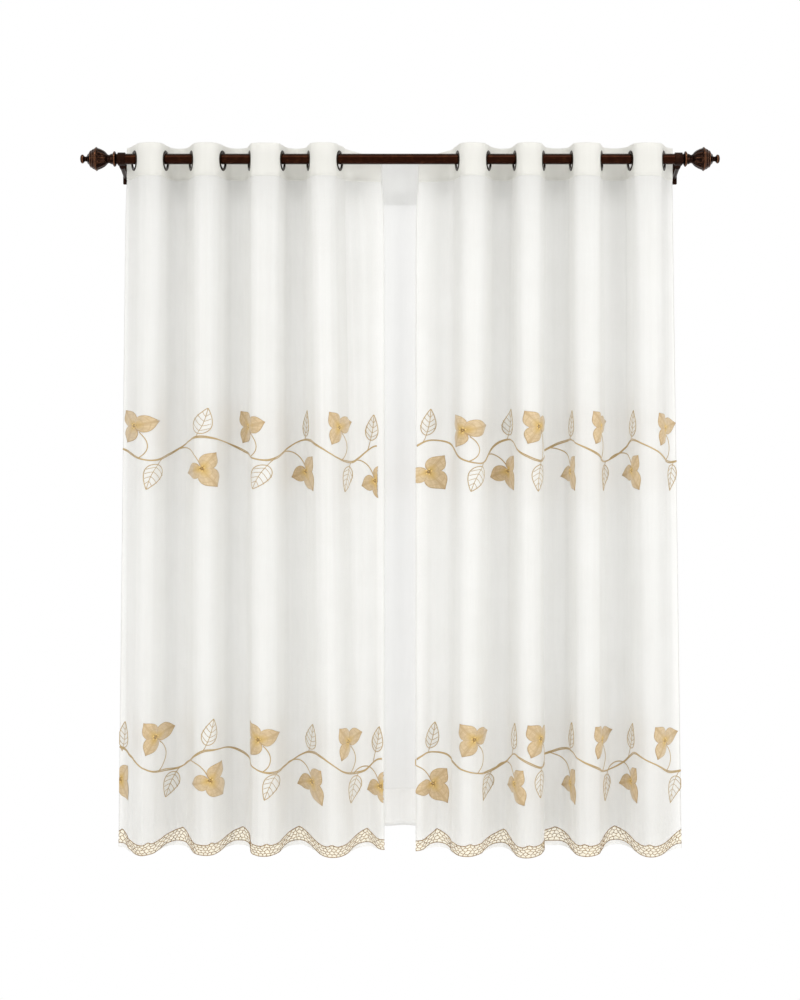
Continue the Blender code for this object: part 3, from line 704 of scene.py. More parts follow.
def voilePanel(side, hang):
    # across runs from inside the outer side hem, round its fold, over the width and into the
    # inner side hem; the hems lie a little behind
    width, hem, drop = panel["width"], panel["sideHem"], panel["drop"]
    near, first = clothGrid["inset"]
    inHem = np.linspace(hem, clothGrid["hemStart"], clothGrid["hemColumns"])
    middle = np.linspace(first, width - first, clothGrid["columns"])
    front = np.concatenate([[0, near], middle, [width - near, width]])
    across = np.concatenate([inHem, front, width - inHem[::-1]])
    hemBack = np.full(len(inHem), panel["behind"])
    back = np.concatenate([hemBack, np.zeros(len(front)), hemBack])
    flatA, flatD = np.meshgrid(across, np.linspace(0, drop, clothGrid["rows"]))
    # the cloth ends under the net's upper edge, with a strip of it left below the net's arches
    foot, start = onBand(hang, side, across, 1.0) + clothGrid["tuck"], clothGrid["shaped"]
    flatD = np.where(flatD > start, start + (flatD - start) * (foot - start) / (drop - start), flatD)
    parts = []
    stripTop = onBand(hang, side, across, 0.0) - clothGrid["stripTuck"]
    strip = np.linspace(stripTop, np.full(len(across), drop), clothGrid["stripRows"])
    for patchA, patchD in ((flatA, flatD), (np.broadcast_to(across, strip.shape), strip)):
        points, _ = clothPlace(hang, patchA, patchD, -np.broadcast_to(back, patchA.shape))
        parts.append(gridPart(points[None], np.stack([patchA, patchD], -1)[None], flip=hang["side"] < 0))
    return addMesh("voilePanel_" + side, parts, voileCloth)


panels = {side: voilePanel(side, hang) for side, hang in hangs.items()}
for side in hangs:
    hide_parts("panel_" + side)
print("voile panels hung")


heading = {
    "columns": 520, "rows": 36, "thick": 0.0018, "holeRadius": 0.0262, "holeReach": 0.004, "ringDrop": 0.00528,
    "pucker": 0.0006, "puckerLength": 0.0062, "puckerDrift": 0.03,
}


def headingBand(name, hang):
    # the rod line carried straight up from the seam to the top edge, where the free end droops;
    # puckers: small waves that die out towards the middle of the band
    folds = np.linspace(0, 9, heading["columns"])
    up = np.linspace(0, 1, heading["rows"])
    x, y = between(hang["rodTable"], folds)
    line = np.stack([hang["side"] * x, y - camera["wallGap"]], -1)
    along = walked(line)
    run = unit(np.gradient(line, axis=0))
    low = panel["headBottom"] - panel["droopBottom"] * droopShare(folds)
    high = panel["headTop"] - panel["droopTop"] * droopShare(folds)
    z = low + up[:, None] * (high - low)
    gather = np.sin(along / heading["puckerLength"] + 2 * np.sin(along / heading["puckerDrift"]))
    pucker = heading["pucker"] * gather * np.abs(2 * up[:, None] - 1) ** 4
    flat = line[None] + pucker[..., None] * np.stack([-run[:, 1], run[:, 0]], -1)
    points = np.concatenate([flat, z[..., None]], -1)
    middle = (points[:-1, :-1] + points[1:, 1:]) / 2
    keep = np.ones(middle.shape[:2], bool)
    centres, runs = eyeletLine(hang)
    for centre, way in zip(centres, runs):
        way3 = np.array([hang["side"] * way[0], way[1], 0])
        gap = middle - np.array([hang["side"] * centre[0], centre[1] - camera["wallGap"], -heading["ringDrop"]])
        # distance from the ring's axis, which is square to the cloth
        inPlane = np.hypot(gap @ way3, gap[..., 2])
        offPlane = np.abs(gap[..., 0] * way3[1] - gap[..., 1] * way3[0])
        keep &= ~((inPlane < heading["holeRadius"]) & (offPlane < heading["holeReach"]))
    uv = np.stack(np.broadcast_arrays(along[None], z), -1)
    part = gridPart(points[None], uv[None], flip=hang["side"] > 0, keep=keep[None])
    piece = addMesh(name, [part], headingCloth)
    wall = piece.modifiers.new("doubledCloth", "SOLIDIFY")
    wall.thickness, wall.offset = heading["thick"], 0
    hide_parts("heading_" + name.split("_")[1])
    return piece


headings = {side: headingBand("headingBand_" + side, hang) for side, hang in hangs.items()}

ring = {"inner": 0.022, "outer": 0.031, "half": 0.003, "sides": 56}
# one half of the ring's section: share of the flange, share of the half thickness
ringSection = [
    (0.0, 0.35), (0.05, 0.72), (0.16, 0.95), (0.34, 1.0), (0.66, 0.96), (0.86, 0.78), (0.96, 0.5), (1.0, 0.2),
]


def eyeletRing(name, hang, k):
    # the section (radius, along the axis) turned about the ring's own axis
    centres, runs = eyeletLine(hang)
    way = np.array([hang["side"] * runs[k][0], runs[k][1], 0])
    axis = np.array([way[1], -way[0], 0.0])
    centre = np.array([hang["side"] * centres[k][0], centres[k][1] - camera["wallGap"], -heading["ringDrop"]])
    half = np.array(ringSection)
    section = np.concatenate([half[:1] * (1, -1), half, half[:0:-1] * (1, -1)])
    radius = ring["inner"] + section[:, 0] * (ring["outer"] - ring["inner"])
    lean = section[:, 1] * ring["half"]
    turn = np.linspace(0, 2 * np.pi, ring["sides"], endpoint=False)
    spoke = np.cos(turn)[:, None] * way + np.sin(turn)[:, None] * np.array([0, 0, 1.0])
    points = centre + radius[:, None, None] * spoke + lean[:, None, None] * axis
    rows, columns = points.shape[:2]
    points = np.concatenate([points, points[:1]])[None]
    uv = np.stack(np.meshgrid(np.linspace(0, 1, columns + 1), np.linspace(0, 1, rows + 1)), -1)[None]
    part = gridPart(points, uv, wrap=True, flip=True)
    piece = addMesh(name, [part], ringBronze)
    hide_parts(name.replace("ring_", "eyelet_"))
    return piece


for side, hang in hangs.items():
    [eyeletRing("ring_%s_%d" % (side, k + 1), hang, k) for k in range(len(hang["eyelets"]))]
print("headings and rings made")


sheer = {
    "half": 0.815, "rodDepth": 0.095, "rodRise": 0.0145, "pocket": 0.0073, "foot": 0.015,
    "seam": -0.127, "bottom": -2.033, "hemBand": 0.114, "behind": 0.0008, "full": 0.3,
    "columns": 300, "rows": {"back": 14, "pocket": 25, "front": 110, "hem": 12}, "hemGap": 0.0003,
    # height, length across (m) and phase of each wave
    "waves": [(0.007, 0.118, 0.4), (0.004, 0.171, 1.9)],
}


def plainSheer(name):
    # a profile down the drop: back layer up from the pocket's seam, round the rod pocket, down
    # the front to the bottom, and up behind to the hem seam; the waves grow from the pocket down
    foot, bottom, rows = sheer["rodRise"] - sheer["foot"], sheer["bottom"], sheer["rows"]
    turn = np.linspace(-0.5, 1.5, rows["pocket"])[1:-1] * np.pi
    loop = np.stack([sheer["pocket"] * np.cos(turn), sheer["rodRise"] + sheer["pocket"] * np.sin(turn)], 1)

    def layer(behind, start, end, count):
        return np.stack([np.full(count, behind), np.linspace(start, end, count)], 1)

    backUp = layer(sheer["behind"], sheer["seam"], foot, rows["back"])
    frontDown = layer(0.0, foot, bottom, rows["front"])
    hemUp = layer(sheer["behind"], bottom + sheer["hemGap"], bottom + sheer["hemBand"], rows["hem"])
    profile = np.concatenate([backUp, loop, frontDown, hemUp])
    run = walked(profile)
    x = np.linspace(-sheer["half"], sheer["half"], sheer["columns"])
    share = np.clip((foot - profile[:, 1]) / (sheer["full"] * -bottom), 0, 1) ** 0.8
    wave = 0
    for height, length, phase in sheer["waves"]:
        wave = wave + height * np.sin(2 * np.pi * x / length + phase + 0.6 * np.sin(x * 5))
    depth = sheer["rodDepth"] + profile[:, :1] + share[:, None] * wave[None]
    points = np.stack([np.broadcast_to(x, depth.shape), depth - camera["wallGap"],
                       np.broadcast_to(profile[:, 1:], depth.shape)], -1)
    uv = np.stack(np.meshgrid(x, run), -1)
    part = gridPart(points[None], uv[None], flip=True)
    return addMesh(name, [part], plainCloth), float(run[-1])


sheerPiece, sheerLength = plainSheer("plainSheerCloth")
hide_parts("plain_sheer")
print("plain sheer hung")


def threads(paths, normals, halfWide, halfHigh, sides=6):
    # an oval section carried along each path (count, stops, 3): side * cos + normal * sin,
    # with flat ends
    along = unit(np.gradient(paths, axis=1))
    across = unit(np.cross(normals, along))
    up = np.cross(along, across)
    turn = 2 * np.pi * np.arange(sides) / sides
    high = np.broadcast_to(halfHigh, paths.shape[:2])[..., None, None]
    wide = np.broadcast_to(halfWide, paths.shape[:2])[..., None, None]
    points = (paths[:, :, None] + wide * across[:, :, None] * np.cos(turn)[:, None]
              + high * up[:, :, None] * np.sin(turn)[:, None])
    count, stops = paths.shape[:2]
    far = np.cumsum(np.linalg.norm(np.diff(paths, axis=1, prepend=paths[:, :1]), axis=2), axis=1)
    uv = np.stack(np.broadcast_arrays(np.arange(sides + 1) / sides, far[..., None]), -1)
    part = gridPart(points, uv, wrap=True)
    index = np.arange(count * stops * sides).reshape(count, stops, sides)
    return closeEnds(part, np.concatenate([index[:, 0, ::-1], index[:, -1]]))


def thickPatch(top, bottom, uv, keep=None):
    # two grids (count, rows, columns, 3) joined round their edge; rows run outwards and
    # columns anticlockwise, as seen from the top
    count, rows, columns = top.shape[:3]
    front, back = gridPart(top, uv, flip=True, keep=keep), gridPart(bottom, uv, keep=keep)
    index = np.arange(rows * columns).reshape(rows, columns)
    edge = np.concatenate([index[:-1, 0], index[-1, :-1], index[:0:-1, -1], index[0, :0:-1]])
    starts = (np.arange(count) * rows * columns)[:, None]
    here, there = edge + starts, np.roll(edge, -1) + starts
    size = count * rows * columns
    wall = np.stack([here + size, there + size, there, here], -1)
    flatUv = uv.reshape(count, -1, 2)
    one, two = flatUv[:, edge], flatUv[:, np.roll(edge, -1)]
    wallUv = np.stack([one, two, two, one], 2)
    if keep is not None:
        whole = keep.reshape(count, -1).all(1)
        wall, wallUv = wall[whole], wallUv[whole]
    return [np.concatenate([front[0], back[0]]),
            [front[1][0], back[1][0] + size, wall.reshape(-1, 4)],
            [front[2][0], back[2][0], wallUv.reshape(-1, 4, 2)]]


def patchOnCloth(hang, flatA, flatD, lift, under, uv, keep=None):
    # a closed patch between two heights above the cloth
    top, _ = clothPlace(hang, flatA, flatD, np.broadcast_to(lift, flatA.shape))
    bottom, _ = clothPlace(hang, flatA, flatD, np.full(flatA.shape, under))
    return thickPatch(top, bottom, uv, keep)


def anyCorner(inside):
    # the cells with a corner inside
    return inside[:, :-1, :-1] | inside[:, 1:, 1:] | inside[:, :-1, 1:] | inside[:, 1:, :-1]


flower = {
    "rows": 15, "columns": 29, "halfAngle": 68, "broad": 0.81, "waist": 0.68, "tipAngle": 9.0,
    "dome": 0.0026, "lift": 0.0005, "step": 0.0003, "under": -0.0006, "ripple": 0.0002,
}
# petals: direction (degrees, anticlockwise from the right), length (mm); stem: points from
# the vine to the flower, right and up from its centre (mm)
flowerKinds = {
    "above": {"petals": [(127, 59), (14, 64), (241, 59)], "stem": [(12, -89), (42, -76), (42, -46), (14, -18)]},
    "below": {"petals": [(198, 60), (53, 60), (305, 69)], "stem": [(-92, 44), (-72, 62), (-32, 62), (-8, 18)]},
}
# veins: foot on the midrib and tip on the outline, as shares of the length; stalkEnd: right
# and up from the foot (m); ground: the satin patch under the lines
leaf = {
    "long": 0.080, "wide": 0.052, "bend": 0.06, "stalk": 0.012, "stalkEnd": (-0.004, -0.03),
    "ribBend": 0.10, "veinBend": 0.08, "veins": [(0.12, 0.32), (0.31, 0.49), (0.50, 0.66), (0.69, 0.83)],
    "outline": 0.0014, "rib": 0.0012, "vein": 0.00095, "flatness": 0.7, "lift": 0.0005,
    "groundRows": 16, "groundColumns": 17, "groundEnd": 0.1, "groundFill": 0.97, "groundLift": 0.0006,
    "groundUnder": -0.0004,
}
# two plies that part and meet along the vine, and the stems of flowers and leaves (m)
vine = {
    "step": 0.004, "gap": 0.0013, "gapSway": 0.0009, "gapLength": 0.031, "wide": 0.0017, "wideSway": 0.0003,
    "wideLength": 0.05, "thick": 0.0010, "lift": 0.0003, "stops": 18,
    "flowerStem": (0.0017, 0.0009, 0.0003), "leafStem": (0.0014, 0.0008, 0.0002),
}
# knots at a flower's centre: right, up and radius (mm); shares of a knot's height
knot = {
    "spots": [(7.0, 2.0, 2.6), (1.4, 7.2, 2.4), (-6.2, 4.2, 2.6), (-5.8, -4.4, 2.3), (1.0, -7.4, 2.6),
              (0.5, 0.5, 1.6)],
    "levels": [-0.4, 0.1, 0.5, 0.8, 0.97], "sides": 10, "tall": 0.8, "lift": 0.0022, "fromEdge": 0.004, "widest": 1.4,
}

# flowers: kind, across, drop (mm), width factor; leaves: across, drop of the foot (mm),
# lean (degrees from straight up, to the right), width factor; vine: across, drop of each turn
patterns = {
    ("left", "upper"): {
        "reach": 1341,
        "flowers": [("above", 82, 750, 1.9), ("above", 676, 753, 1.52), ("above", 1161, 754, 1.27),
                    ("below", 443, 877, 1.7), ("below", 977, 890, 1.32), ("below", 1332, 915, 0.95)],
        "leaves": [(419, 771, 22, 1.7), (970, 782, 14, 0.75), (1313, 792, 13, 0.9),
                   (195, 867, 205, 1.5), (782, 869, 210, 1.75), (1224, 876, 204, 1.05)],
        "vine": [(-60, 815), (170, 853), (435, 782), (775, 852), (980, 793), (1234, 861), (1345, 808), (1450, 850)],
    },
    ("left", "lower"): {
        "reach": 1364,
        "flowers": [("above", 195, 1686, 1.45), ("above", 741, 1688, 1.6), ("above", 1183, 1701, 1.13),
                    ("below", 7, 1829, 1.15), ("below", 477, 1811, 1.58), ("below", 1004, 1830, 1.4),
                    ("below", 1353, 1843, 1.5)],
        "leaves": [(14, 1731, 8, 1.0), (459, 1704, 20, 1.3), (985, 1733, 15, 1.1), (1323, 1740, 16, 1.1),
                   (293, 1813, 208, 1.3), (825, 1798, 210, 1.4), (1230, 1817, 203, 1.1)],
        "vine": [(-40, 1728), (275, 1802), (470, 1721), (830, 1790), (1030, 1738), (1235, 1807), (1360, 1760),
                 (1460, 1800)],
    },
    ("right", "upper"): {
        "reach": 1370,
        "flowers": [("above", 1166, 763, 1.52), ("above", 800, 751, 1.42), ("above", 422, 752, 1.24),
                    ("above", 74, 757, 1.2), ("below", 1331, 888, 1.3), ("below", 963, 888, 1.2),
                    ("below", 570, 888, 1.07), ("below", 226, 885, 1.15)],
        "leaves": [(1341, 775, 13, 0.9), (966, 778, 12, 1.1), (578, 781, 16, 1.0), (233, 781, 15, 1.0),
                   (1098, 873, 206, 1.2), (785, 866, 190, 1.2), (353, 871, 196, 1.0), (14, 870, 196, 0.8)],
        "vine": [(1440, 840), (1325, 792), (1105, 862), (960, 792), (782, 855), (575, 792), (356, 860), (220, 792),
                 (20, 861), (-120, 800)],
    },
    ("right", "lower"): {
        "reach": 1370,
        "flowers": [("above", 1123, 1688, 1.32), ("above", 786, 1688, 1.42), ("above", 409, 1698, 1.35),
                    ("above", 87, 1696, 1.3), ("below", 1304, 1841, 1.3), ("below", 892, 1824, 1.2),
                    ("below", 571, 1832, 1.02), ("below", 247, 1830, 1.05)],
        "leaves": [(1320, 1731, 16, 0.95), (913, 1721, 13, 1.0), (578, 1725, 14, 0.9), (257, 1729, 16, 0.95),
                   (1022, 1810, 210, 1.25), (781, 1785, 184, 1.0), (350, 1816, 193, 0.9), (12, 1817, 202, 1.1)],
        "vine": [(1440, 1790), (1325, 1744), (1030, 1800), (890, 1735), (768, 1777), (582, 1733), (345, 1804),
                 (212, 1738), (15, 1802), (-120, 1740)],
    },
}


def flatPlace(hang, across, drop, wide, right, up):
    # a motif's own right and up (m) to the flat cloth, its width times the width factor
    return across - hang["side"] * right * wide, drop - up


def petalOutline(angle):
    # length at an angle off the petal's axis: broad * (1 - waist * (angle / half angle)^2),
    # and a small drawn-out tip as exp(-angle / tip angle)
    size = np.abs(np.degrees(angle))
    broad = flower["broad"] * (1 - flower["waist"] * (size / flower["halfAngle"]) ** 2)
    return broad + (1 - flower["broad"]) * np.exp(-size / flower["tipAngle"])


def petals(hang, rows, reach):
    # each petal is a patch in polar form round the flower's centre: radius = out * outline,
    # domed as sin(pi * out^0.8) * (1 - side^4), with a small ripple across
    kindList, across, drop, wide = zip(*rows)
    shapes = np.array([flowerKinds[kind]["petals"] for kind in kindList])
    turn, long = shapes[..., 0], shapes[..., 1]
    across, drop, wide = [np.repeat(values, 3)[:, None, None] for values in (across, drop, wide)]
    out = np.linspace(0.03, 1, flower["rows"])[None, :, None]
    side = np.linspace(-1, 1, flower["columns"])[None, None, :]
    angle = side * math.radians(flower["halfAngle"])
    radius = out * petalOutline(angle) * long.ravel()[:, None, None] * mm
    angle = angle + np.radians(turn.ravel()[:, None, None])
    right, up = radius * np.cos(angle), radius * np.sin(angle)
    flatA, flatD = flatPlace(hang, across * mm, drop * mm, wide, right, up)
    rise = flower["lift"] + flower["step"] * np.tile(np.arange(3), len(rows))[:, None, None]
    rise = rise + flower["dome"] * np.sin(np.pi * out**0.8) * (1 - side**4)
    rise = rise + flower["ripple"] * np.cos(side * np.pi * 5) * out
    cells = anyCorner((flatA > 0) & (flatA < reach * mm))
    uv = np.stack(np.broadcast_arrays(side, out + 0 * flatA), -1)
    return patchOnCloth(hang, flatA, flatD, rise, flower["under"], uv, cells)


def strandsOnCloth(hang, flatA, flatD, halfWide, halfHigh, lift, sides=6):
    # threads laid on the cloth along flat paths (count, stops), without those that lie for the
    # most part past its edge; the others are drawn in to the edge
    flatA, flatD = np.atleast_2d(flatA), np.atleast_2d(flatD)
    whole = ((flatA > -0.004) & (flatA < panel["width"] + 0.004)).mean(1) > 0.5
    if not whole.any():
        return None
    paths, normals = clothPlace(hang, flatA[whole], flatD[whole], np.full(flatA[whole].shape, lift))
    return threads(paths, normals, halfWide, halfHigh, sides)


def vineLine(turns, reach):
    # between two turns the drop goes as (1 - cos pi t) / 2
    turns = np.array(sorted(turns)) * mm
    across = np.arange(0, reach * mm, vine["step"])
    k = np.clip(np.searchsorted(turns[:, 0], across) - 1, 0, len(turns) - 2)
    t = (across - turns[k, 0]) / (turns[k + 1, 0] - turns[k, 0])
    drop = turns[k, 1] + (1 - np.cos(np.pi * t)) / 2 * (turns[k + 1, 1] - turns[k, 1])
    return across, drop


def leafShape(y):
    # half width and bend of a leaf at y, 0 at its foot and 1 at its tip:
    # wide / 2 * sin(pi y^0.66)^0.85 and bend * wide * sin(pi y)
    half = leaf["wide"] / 2 * np.sin(np.pi * y**0.66) ** 0.85
    return half, leaf["bend"] * leaf["wide"] * np.sin(np.pi * y)


def leafLines():
    # outline from foot to tip and back, midrib, and side veins that leave the midrib and bend
    # up to the outline
    long, wide = leaf["long"], leaf["wide"]
    y = (1 - np.cos(np.linspace(0, np.pi, 26))) / 2
    half, bend = leafShape(y)
    right = np.stack([half + bend, y * long], 1)
    left = np.stack([-half + bend, y * long], 1)[::-1]
    outline = np.concatenate([right, left[1:]])
    ribBend = leaf["ribBend"] * wide * np.sin(np.pi * np.linspace(0, 1, 9))
    rib = np.stack([ribBend, np.linspace(-leaf["stalk"] / long, 1, 9) * long], 1)
    veins, t = [], np.linspace(0, 1, 5)
    for foot, tip in leaf["veins"]:
        reach, _ = leafShape(tip)
        for way in (-1, 1):
            x = way * reach * t + leaf["veinBend"] * wide * np.sin(np.pi * foot) * (1 - t)
            veins.append(np.stack([x, (foot + (tip - foot) * t**1.4) * long], 1))
    return outline, rib, np.array(veins)


def vineThreads(hang, pattern):
    # the two plies, then a stem from the vine to each flower, then the lines and stem of each
    # leaf turned by its lean
    parts = []
    across, drop = vineLine(pattern["vine"], pattern["reach"])
    for way in (-1, 1):
        gap = way * (vine["gap"] + vine["gapSway"] * np.sin(across / vine["gapLength"]))
        wide = vine["wide"] + vine["wideSway"] * np.sin(across / vine["wideLength"] + way)
        parts.append(strandsOnCloth(hang, across, drop + gap, wide[None], vine["thick"], vine["lift"]))
    for kind, a, d, wide in pattern["flowers"]:
        stem = bezier(*np.array(flowerKinds[kind]["stem"], float), count=vine["stops"]) * mm
        flatA, flatD = flatPlace(hang, a * mm, d * mm, wide, stem[:, 0], stem[:, 1])
        # the stem's first point is put on the vine
        onVine = np.interp(flatA[0], across, drop)
        flatD = flatD + (onVine - flatD[0]) * (1 - np.linspace(0, 1, vine["stops"])) ** 2
        parts.append(strandsOnCloth(hang, flatA, flatD, *vine["flowerStem"]))
    outline, rib, veins = leafLines()
    lines = ((outline[None], leaf["outline"]), (rib[None], leaf["rib"]), (veins, leaf["vein"]))
    endX, endY = leaf["stalkEnd"]
    for a, d, lean, wide in pattern["leaves"]:
        turn = math.radians(lean)
        upright = np.array([[math.cos(turn), -math.sin(turn)], [math.sin(turn), math.cos(turn)]])
        for line, thick in lines:
            line = line @ upright
            flatA, flatD = flatPlace(hang, a * mm, d * mm, wide, line[..., 0], line[..., 1])
            parts.append(strandsOnCloth(hang, flatA, flatD, thick, thick * leaf["flatness"], leaf["lift"], 5))
        foot = np.stack([np.linspace(0, endX, 6), np.linspace(-leaf["stalk"], endY, 6)], 1) @ upright
        flatA, flatD = flatPlace(hang, a * mm, d * mm, wide, foot[:, 0], foot[:, 1])
        onVine = np.interp(flatA[-1], across, drop)
        flatD = flatD + (onVine - flatD[-1]) * np.linspace(0, 1, 6)
        parts.append(strandsOnCloth(hang, flatA, flatD, *vine["leafStem"], 5))
    return [part for part in parts if part is not None]


def knots(hang, rows, reach):
    # french knots at each flower's centre: small domes, radius * sqrt(1 - h^2) at height h
    _, across, drop, wide = [np.array(values) for values in zip(*rows)]
    spot = np.array(knot["spots"]) * mm
    wide = np.minimum(wide, knot["widest"])[:, None]
    a, d = flatPlace(hang, (across * mm)[:, None], (drop * mm)[:, None], wide, spot[:, 0], spot[:, 1])
    size = np.broadcast_to(spot[:, 2], a.shape)
    inside = (a > knot["fromEdge"]) & (a < reach * mm - knot["fromEdge"])
    a, d, size = [values[inside][:, None, None] for values in (a, d, size)]
    high = np.array(knot["levels"])[:, None]
    shrink = np.sqrt(1 - np.clip(high, 0, 1) ** 2)
    turn = np.linspace(0, 2 * np.pi, knot["sides"], endpoint=False)
    flatA = a - hang["side"] * size * shrink * np.cos(turn)
    flatD = d - size * shrink * np.sin(turn)
    points, _ = clothPlace(hang, flatA, flatD, knot["lift"] + size * knot["tall"] * high + 0 * turn)
    uv = np.stack(np.broadcast_arrays(np.linspace(0, 1, knot["sides"] + 1), high * 0.003 + 0 * size), -1)
    part = gridPart(points, uv, wrap=True)
    index = np.arange(points.size // 3).reshape(points.shape[:3])
    return closeEnds(part, np.concatenate([index[:, 0, ::-1], index[:, -1]]))


def leafGrounds(hang, rows):
    # a white satin patch under each leaf's lines, of the same outline: rows run up from the
    # foot and columns from right to left
    y = (1 - np.cos(np.linspace(leaf["groundEnd"], np.pi - leaf["groundEnd"], leaf["groundRows"]))) / 2
    half, bend = leafShape(y)
    side = np.linspace(leaf["groundFill"], -leaf["groundFill"], leaf["groundColumns"])
    right = half[:, None] * side + bend[:, None]
    up = np.broadcast_to((y * leaf["long"])[:, None], right.shape)
    across, drop, lean, stretch = [np.array(values, float)[:, None, None] for values in zip(*rows)]
    turn = np.radians(lean)
    turnedRight, turnedUp = right * np.cos(turn) + up * np.sin(turn), up * np.cos(turn) - right * np.sin(turn)
    flatA, flatD = flatPlace(hang, across * mm, drop * mm, stretch, turnedRight, turnedUp)
    cells = anyCorner((flatA > 0) & (flatA < panel["width"]))
    uv = np.stack([flatA, flatD], -1)
    return patchOnCloth(hang, flatA, flatD, leaf["groundLift"], leaf["groundUnder"], uv, cells)


onPanel = {"left": [], "right": []}
for side, hang in hangs.items():
    both = [patterns[side, band] for band in ("upper", "lower")]
    strands = sum([vineThreads(hang, pattern) for pattern in both], [])
    flowers = [(hang, pattern["flowers"], pattern["reach"]) for pattern in both]
    grounds = [leafGrounds(hang, pattern["leaves"]) for pattern in both]
    onPanel[side] += [
        addMesh("vineThreads_" + side, strands, goldThread),
        addMesh("petals_" + side, [petals(*rows) for rows in flowers], petalStitch),
        addMesh("flowerKnots_" + side, [knots(*rows) for rows in flowers], beadThread),
        addMesh("leafGrounds_" + side, grounds, whiteSatin),
    ]
print("embroidery laid")


def netBorder(hang, side):
    # a honeycomb of rows of cells with its corners moved about at random, laid between the
    # band's edges
    width, rows = panel["width"], net["rows"]
    columns = 2 * int(round(width / net["cell"]))
    r, j = np.meshgrid(np.arange(rows + 1), np.arange(columns + 1), indexing="ij")
    dice = np.random.default_rng(net["seed"] + hang["side"])
    edge = (r == 0) | (r == rows)
    sway = np.where((j + r) % 2 == 0, 1, -1) * net["zigzag"]
    up = r + np.where(edge, 0, sway + dice.uniform(-net["uneven"], net["uneven"], r.shape))
    # cells as wide on the flanks of the folds as on their fronts, as seen, mixed with even cells
    flat = np.linspace(0, width, 4001)
    x = smoothCloth(hang, flat, np.full_like(flat, panel["drop"]))[:, 0]
    seen = np.concatenate([[0], np.cumsum(np.abs(np.diff(x)))])
    mixed = net["even"] * flat / width + (1 - net["even"]) * seen / seen[-1]
    across = np.interp((j + dice.uniform(-net["jitter"], net["jitter"], r.shape)) / columns, mixed, flat)
    across = np.clip(across, net["inset"], width - net["inset"])
    # each corner is joined to the next one in its row, and every second one to the row above
    upright = ((j + r) % 2 == 0)[:-1]

    def ends(values):
        return (np.concatenate([values[:, :-1].ravel(), values[:-1][upright]]),
                np.concatenate([values[:, 1:].ravel(), values[1:][upright]]))

    t = np.linspace(0, 1, 3)
    flatA, share = [one[:, None] + t * (two - one)[:, None] for one, two in (ends(across), ends(up / rows))]
    flatD = onBand(hang, side, flatA, share)
    parts = [strandsOnCloth(hang, flatA, flatD, net["wide"], net["thick"], net["lift"], 5)]
    line = np.arange(0.0005, width, net["edgeStep"])
    for share, wide in net["edgeWide"].items():
        drop = onBand(hang, side, line, share)
        parts.append(strandsOnCloth(hang, line, drop, wide, net["edgeThick"], net["edgeLift"]))
    return addMesh("netThreads_" + side, parts, netThread)


def netGround(hang, side):
    # the cream ground stitched under the net, between the same two edges; rows run up and
    # columns leftwards as seen from the front
    across = np.linspace(net["groundInset"], panel["width"] - net["groundInset"], net["groundColumns"])
    flatA, share = np.meshgrid(across[::hang["side"]], np.linspace(0, 1, 7))
    flatA, flatD = flatA[None], onBand(hang, side, flatA, share)[None]
    uv = np.stack([flatA, flatD], -1)
    patch = patchOnCloth(hang, flatA, flatD, net["groundLift"], net["groundUnder"], uv)
    return addMesh("netGround_" + side, [patch], netCream)


for side, hang in hangs.items():
    onPanel[side] += [netBorder(hang, side), netGround(hang, side)]
print("net border laid")


# dashes (m); heights of the rows above the seam; place of the side rows as a share of the hem
stitch = {
    "long": 0.0032, "gap": 0.0012, "thick": 0.00028, "start": 0.002, "aboveSeam": (0.0045, 0.0085), "lift": 0.0001,
    "inHem": 0.6, "sideLift": 0.0002, "sideEnd": 0.04,
}


def stitchRow(place, length):
    # dashes of thread along a line: place(distance) gives points and normals
    starts = np.arange(stitch["start"], length - stitch["long"], stitch["long"] + stitch["gap"])
    stops = starts[:, None] + np.linspace(0, stitch["long"], 3)
    points, normals = place(stops)
    return threads(points, normals, stitch["thick"], stitch["thick"], 4)


def panelStitches(name, hang):
    # two rows above the seam of the heading and one beside each side hem
    folds, plan = hang["rodTable"]
    line = np.stack([hang["side"] * plan[:, 0], plan[:, 1] - camera["wallGap"]], -1)
    far = walked(line)

    def onLine(stops):
        return np.stack([np.interp(stops, far, line[:, k]) for k in (0, 1)], -1)

    parts = []
    for above in stitch["aboveSeam"]:
        def onHeading(stops, above=above):
            ahead = onLine(stops + 0.001) - onLine(stops - 0.001)
            normal = unit(np.stack([ahead[..., 1], -ahead[..., 0], 0 * ahead[..., 0]], -1)) * -hang["side"]
            z = panel["headBottom"] - panel["droopBottom"] * droopShare(np.interp(stops, far, folds)) + above
            points = np.concatenate([onLine(stops), z[..., None]], -1)
            return points + normal * (heading["thick"] / 2 + stitch["lift"]), normal
        parts.append(stitchRow(onHeading, far[-1]))
    fromEdge = panel["sideHem"] * stitch["inHem"]
    for across in (fromEdge, panel["width"] - fromEdge):
        def besideHem(stops, across=across):
            return clothPlace(hang, np.full_like(stops, across), stops, np.full_like(stops, stitch["sideLift"]))
        parts.append(stitchRow(besideHem, panel["drop"] - stitch["sideEnd"]))
    return addMesh(name, parts, whiteThread)


for side, hang in hangs.items():
    onPanel[side].append(panelStitches("seamStitches_" + side, hang))
print("stitches sewn")


# fluted: where the flutes begin and end (m from the rod's end) and their share of the depth
finial = {
    "start": 0.8523, "sides": 72, "rows": 110, "flutes": 12, "fluteDepth": 0.063,
    "fluted": [((0.029, 0.036), (0.055, 0.0605), 1.0), ((0.0675, 0.070), (0.076, 0.080), 0.6)],
}
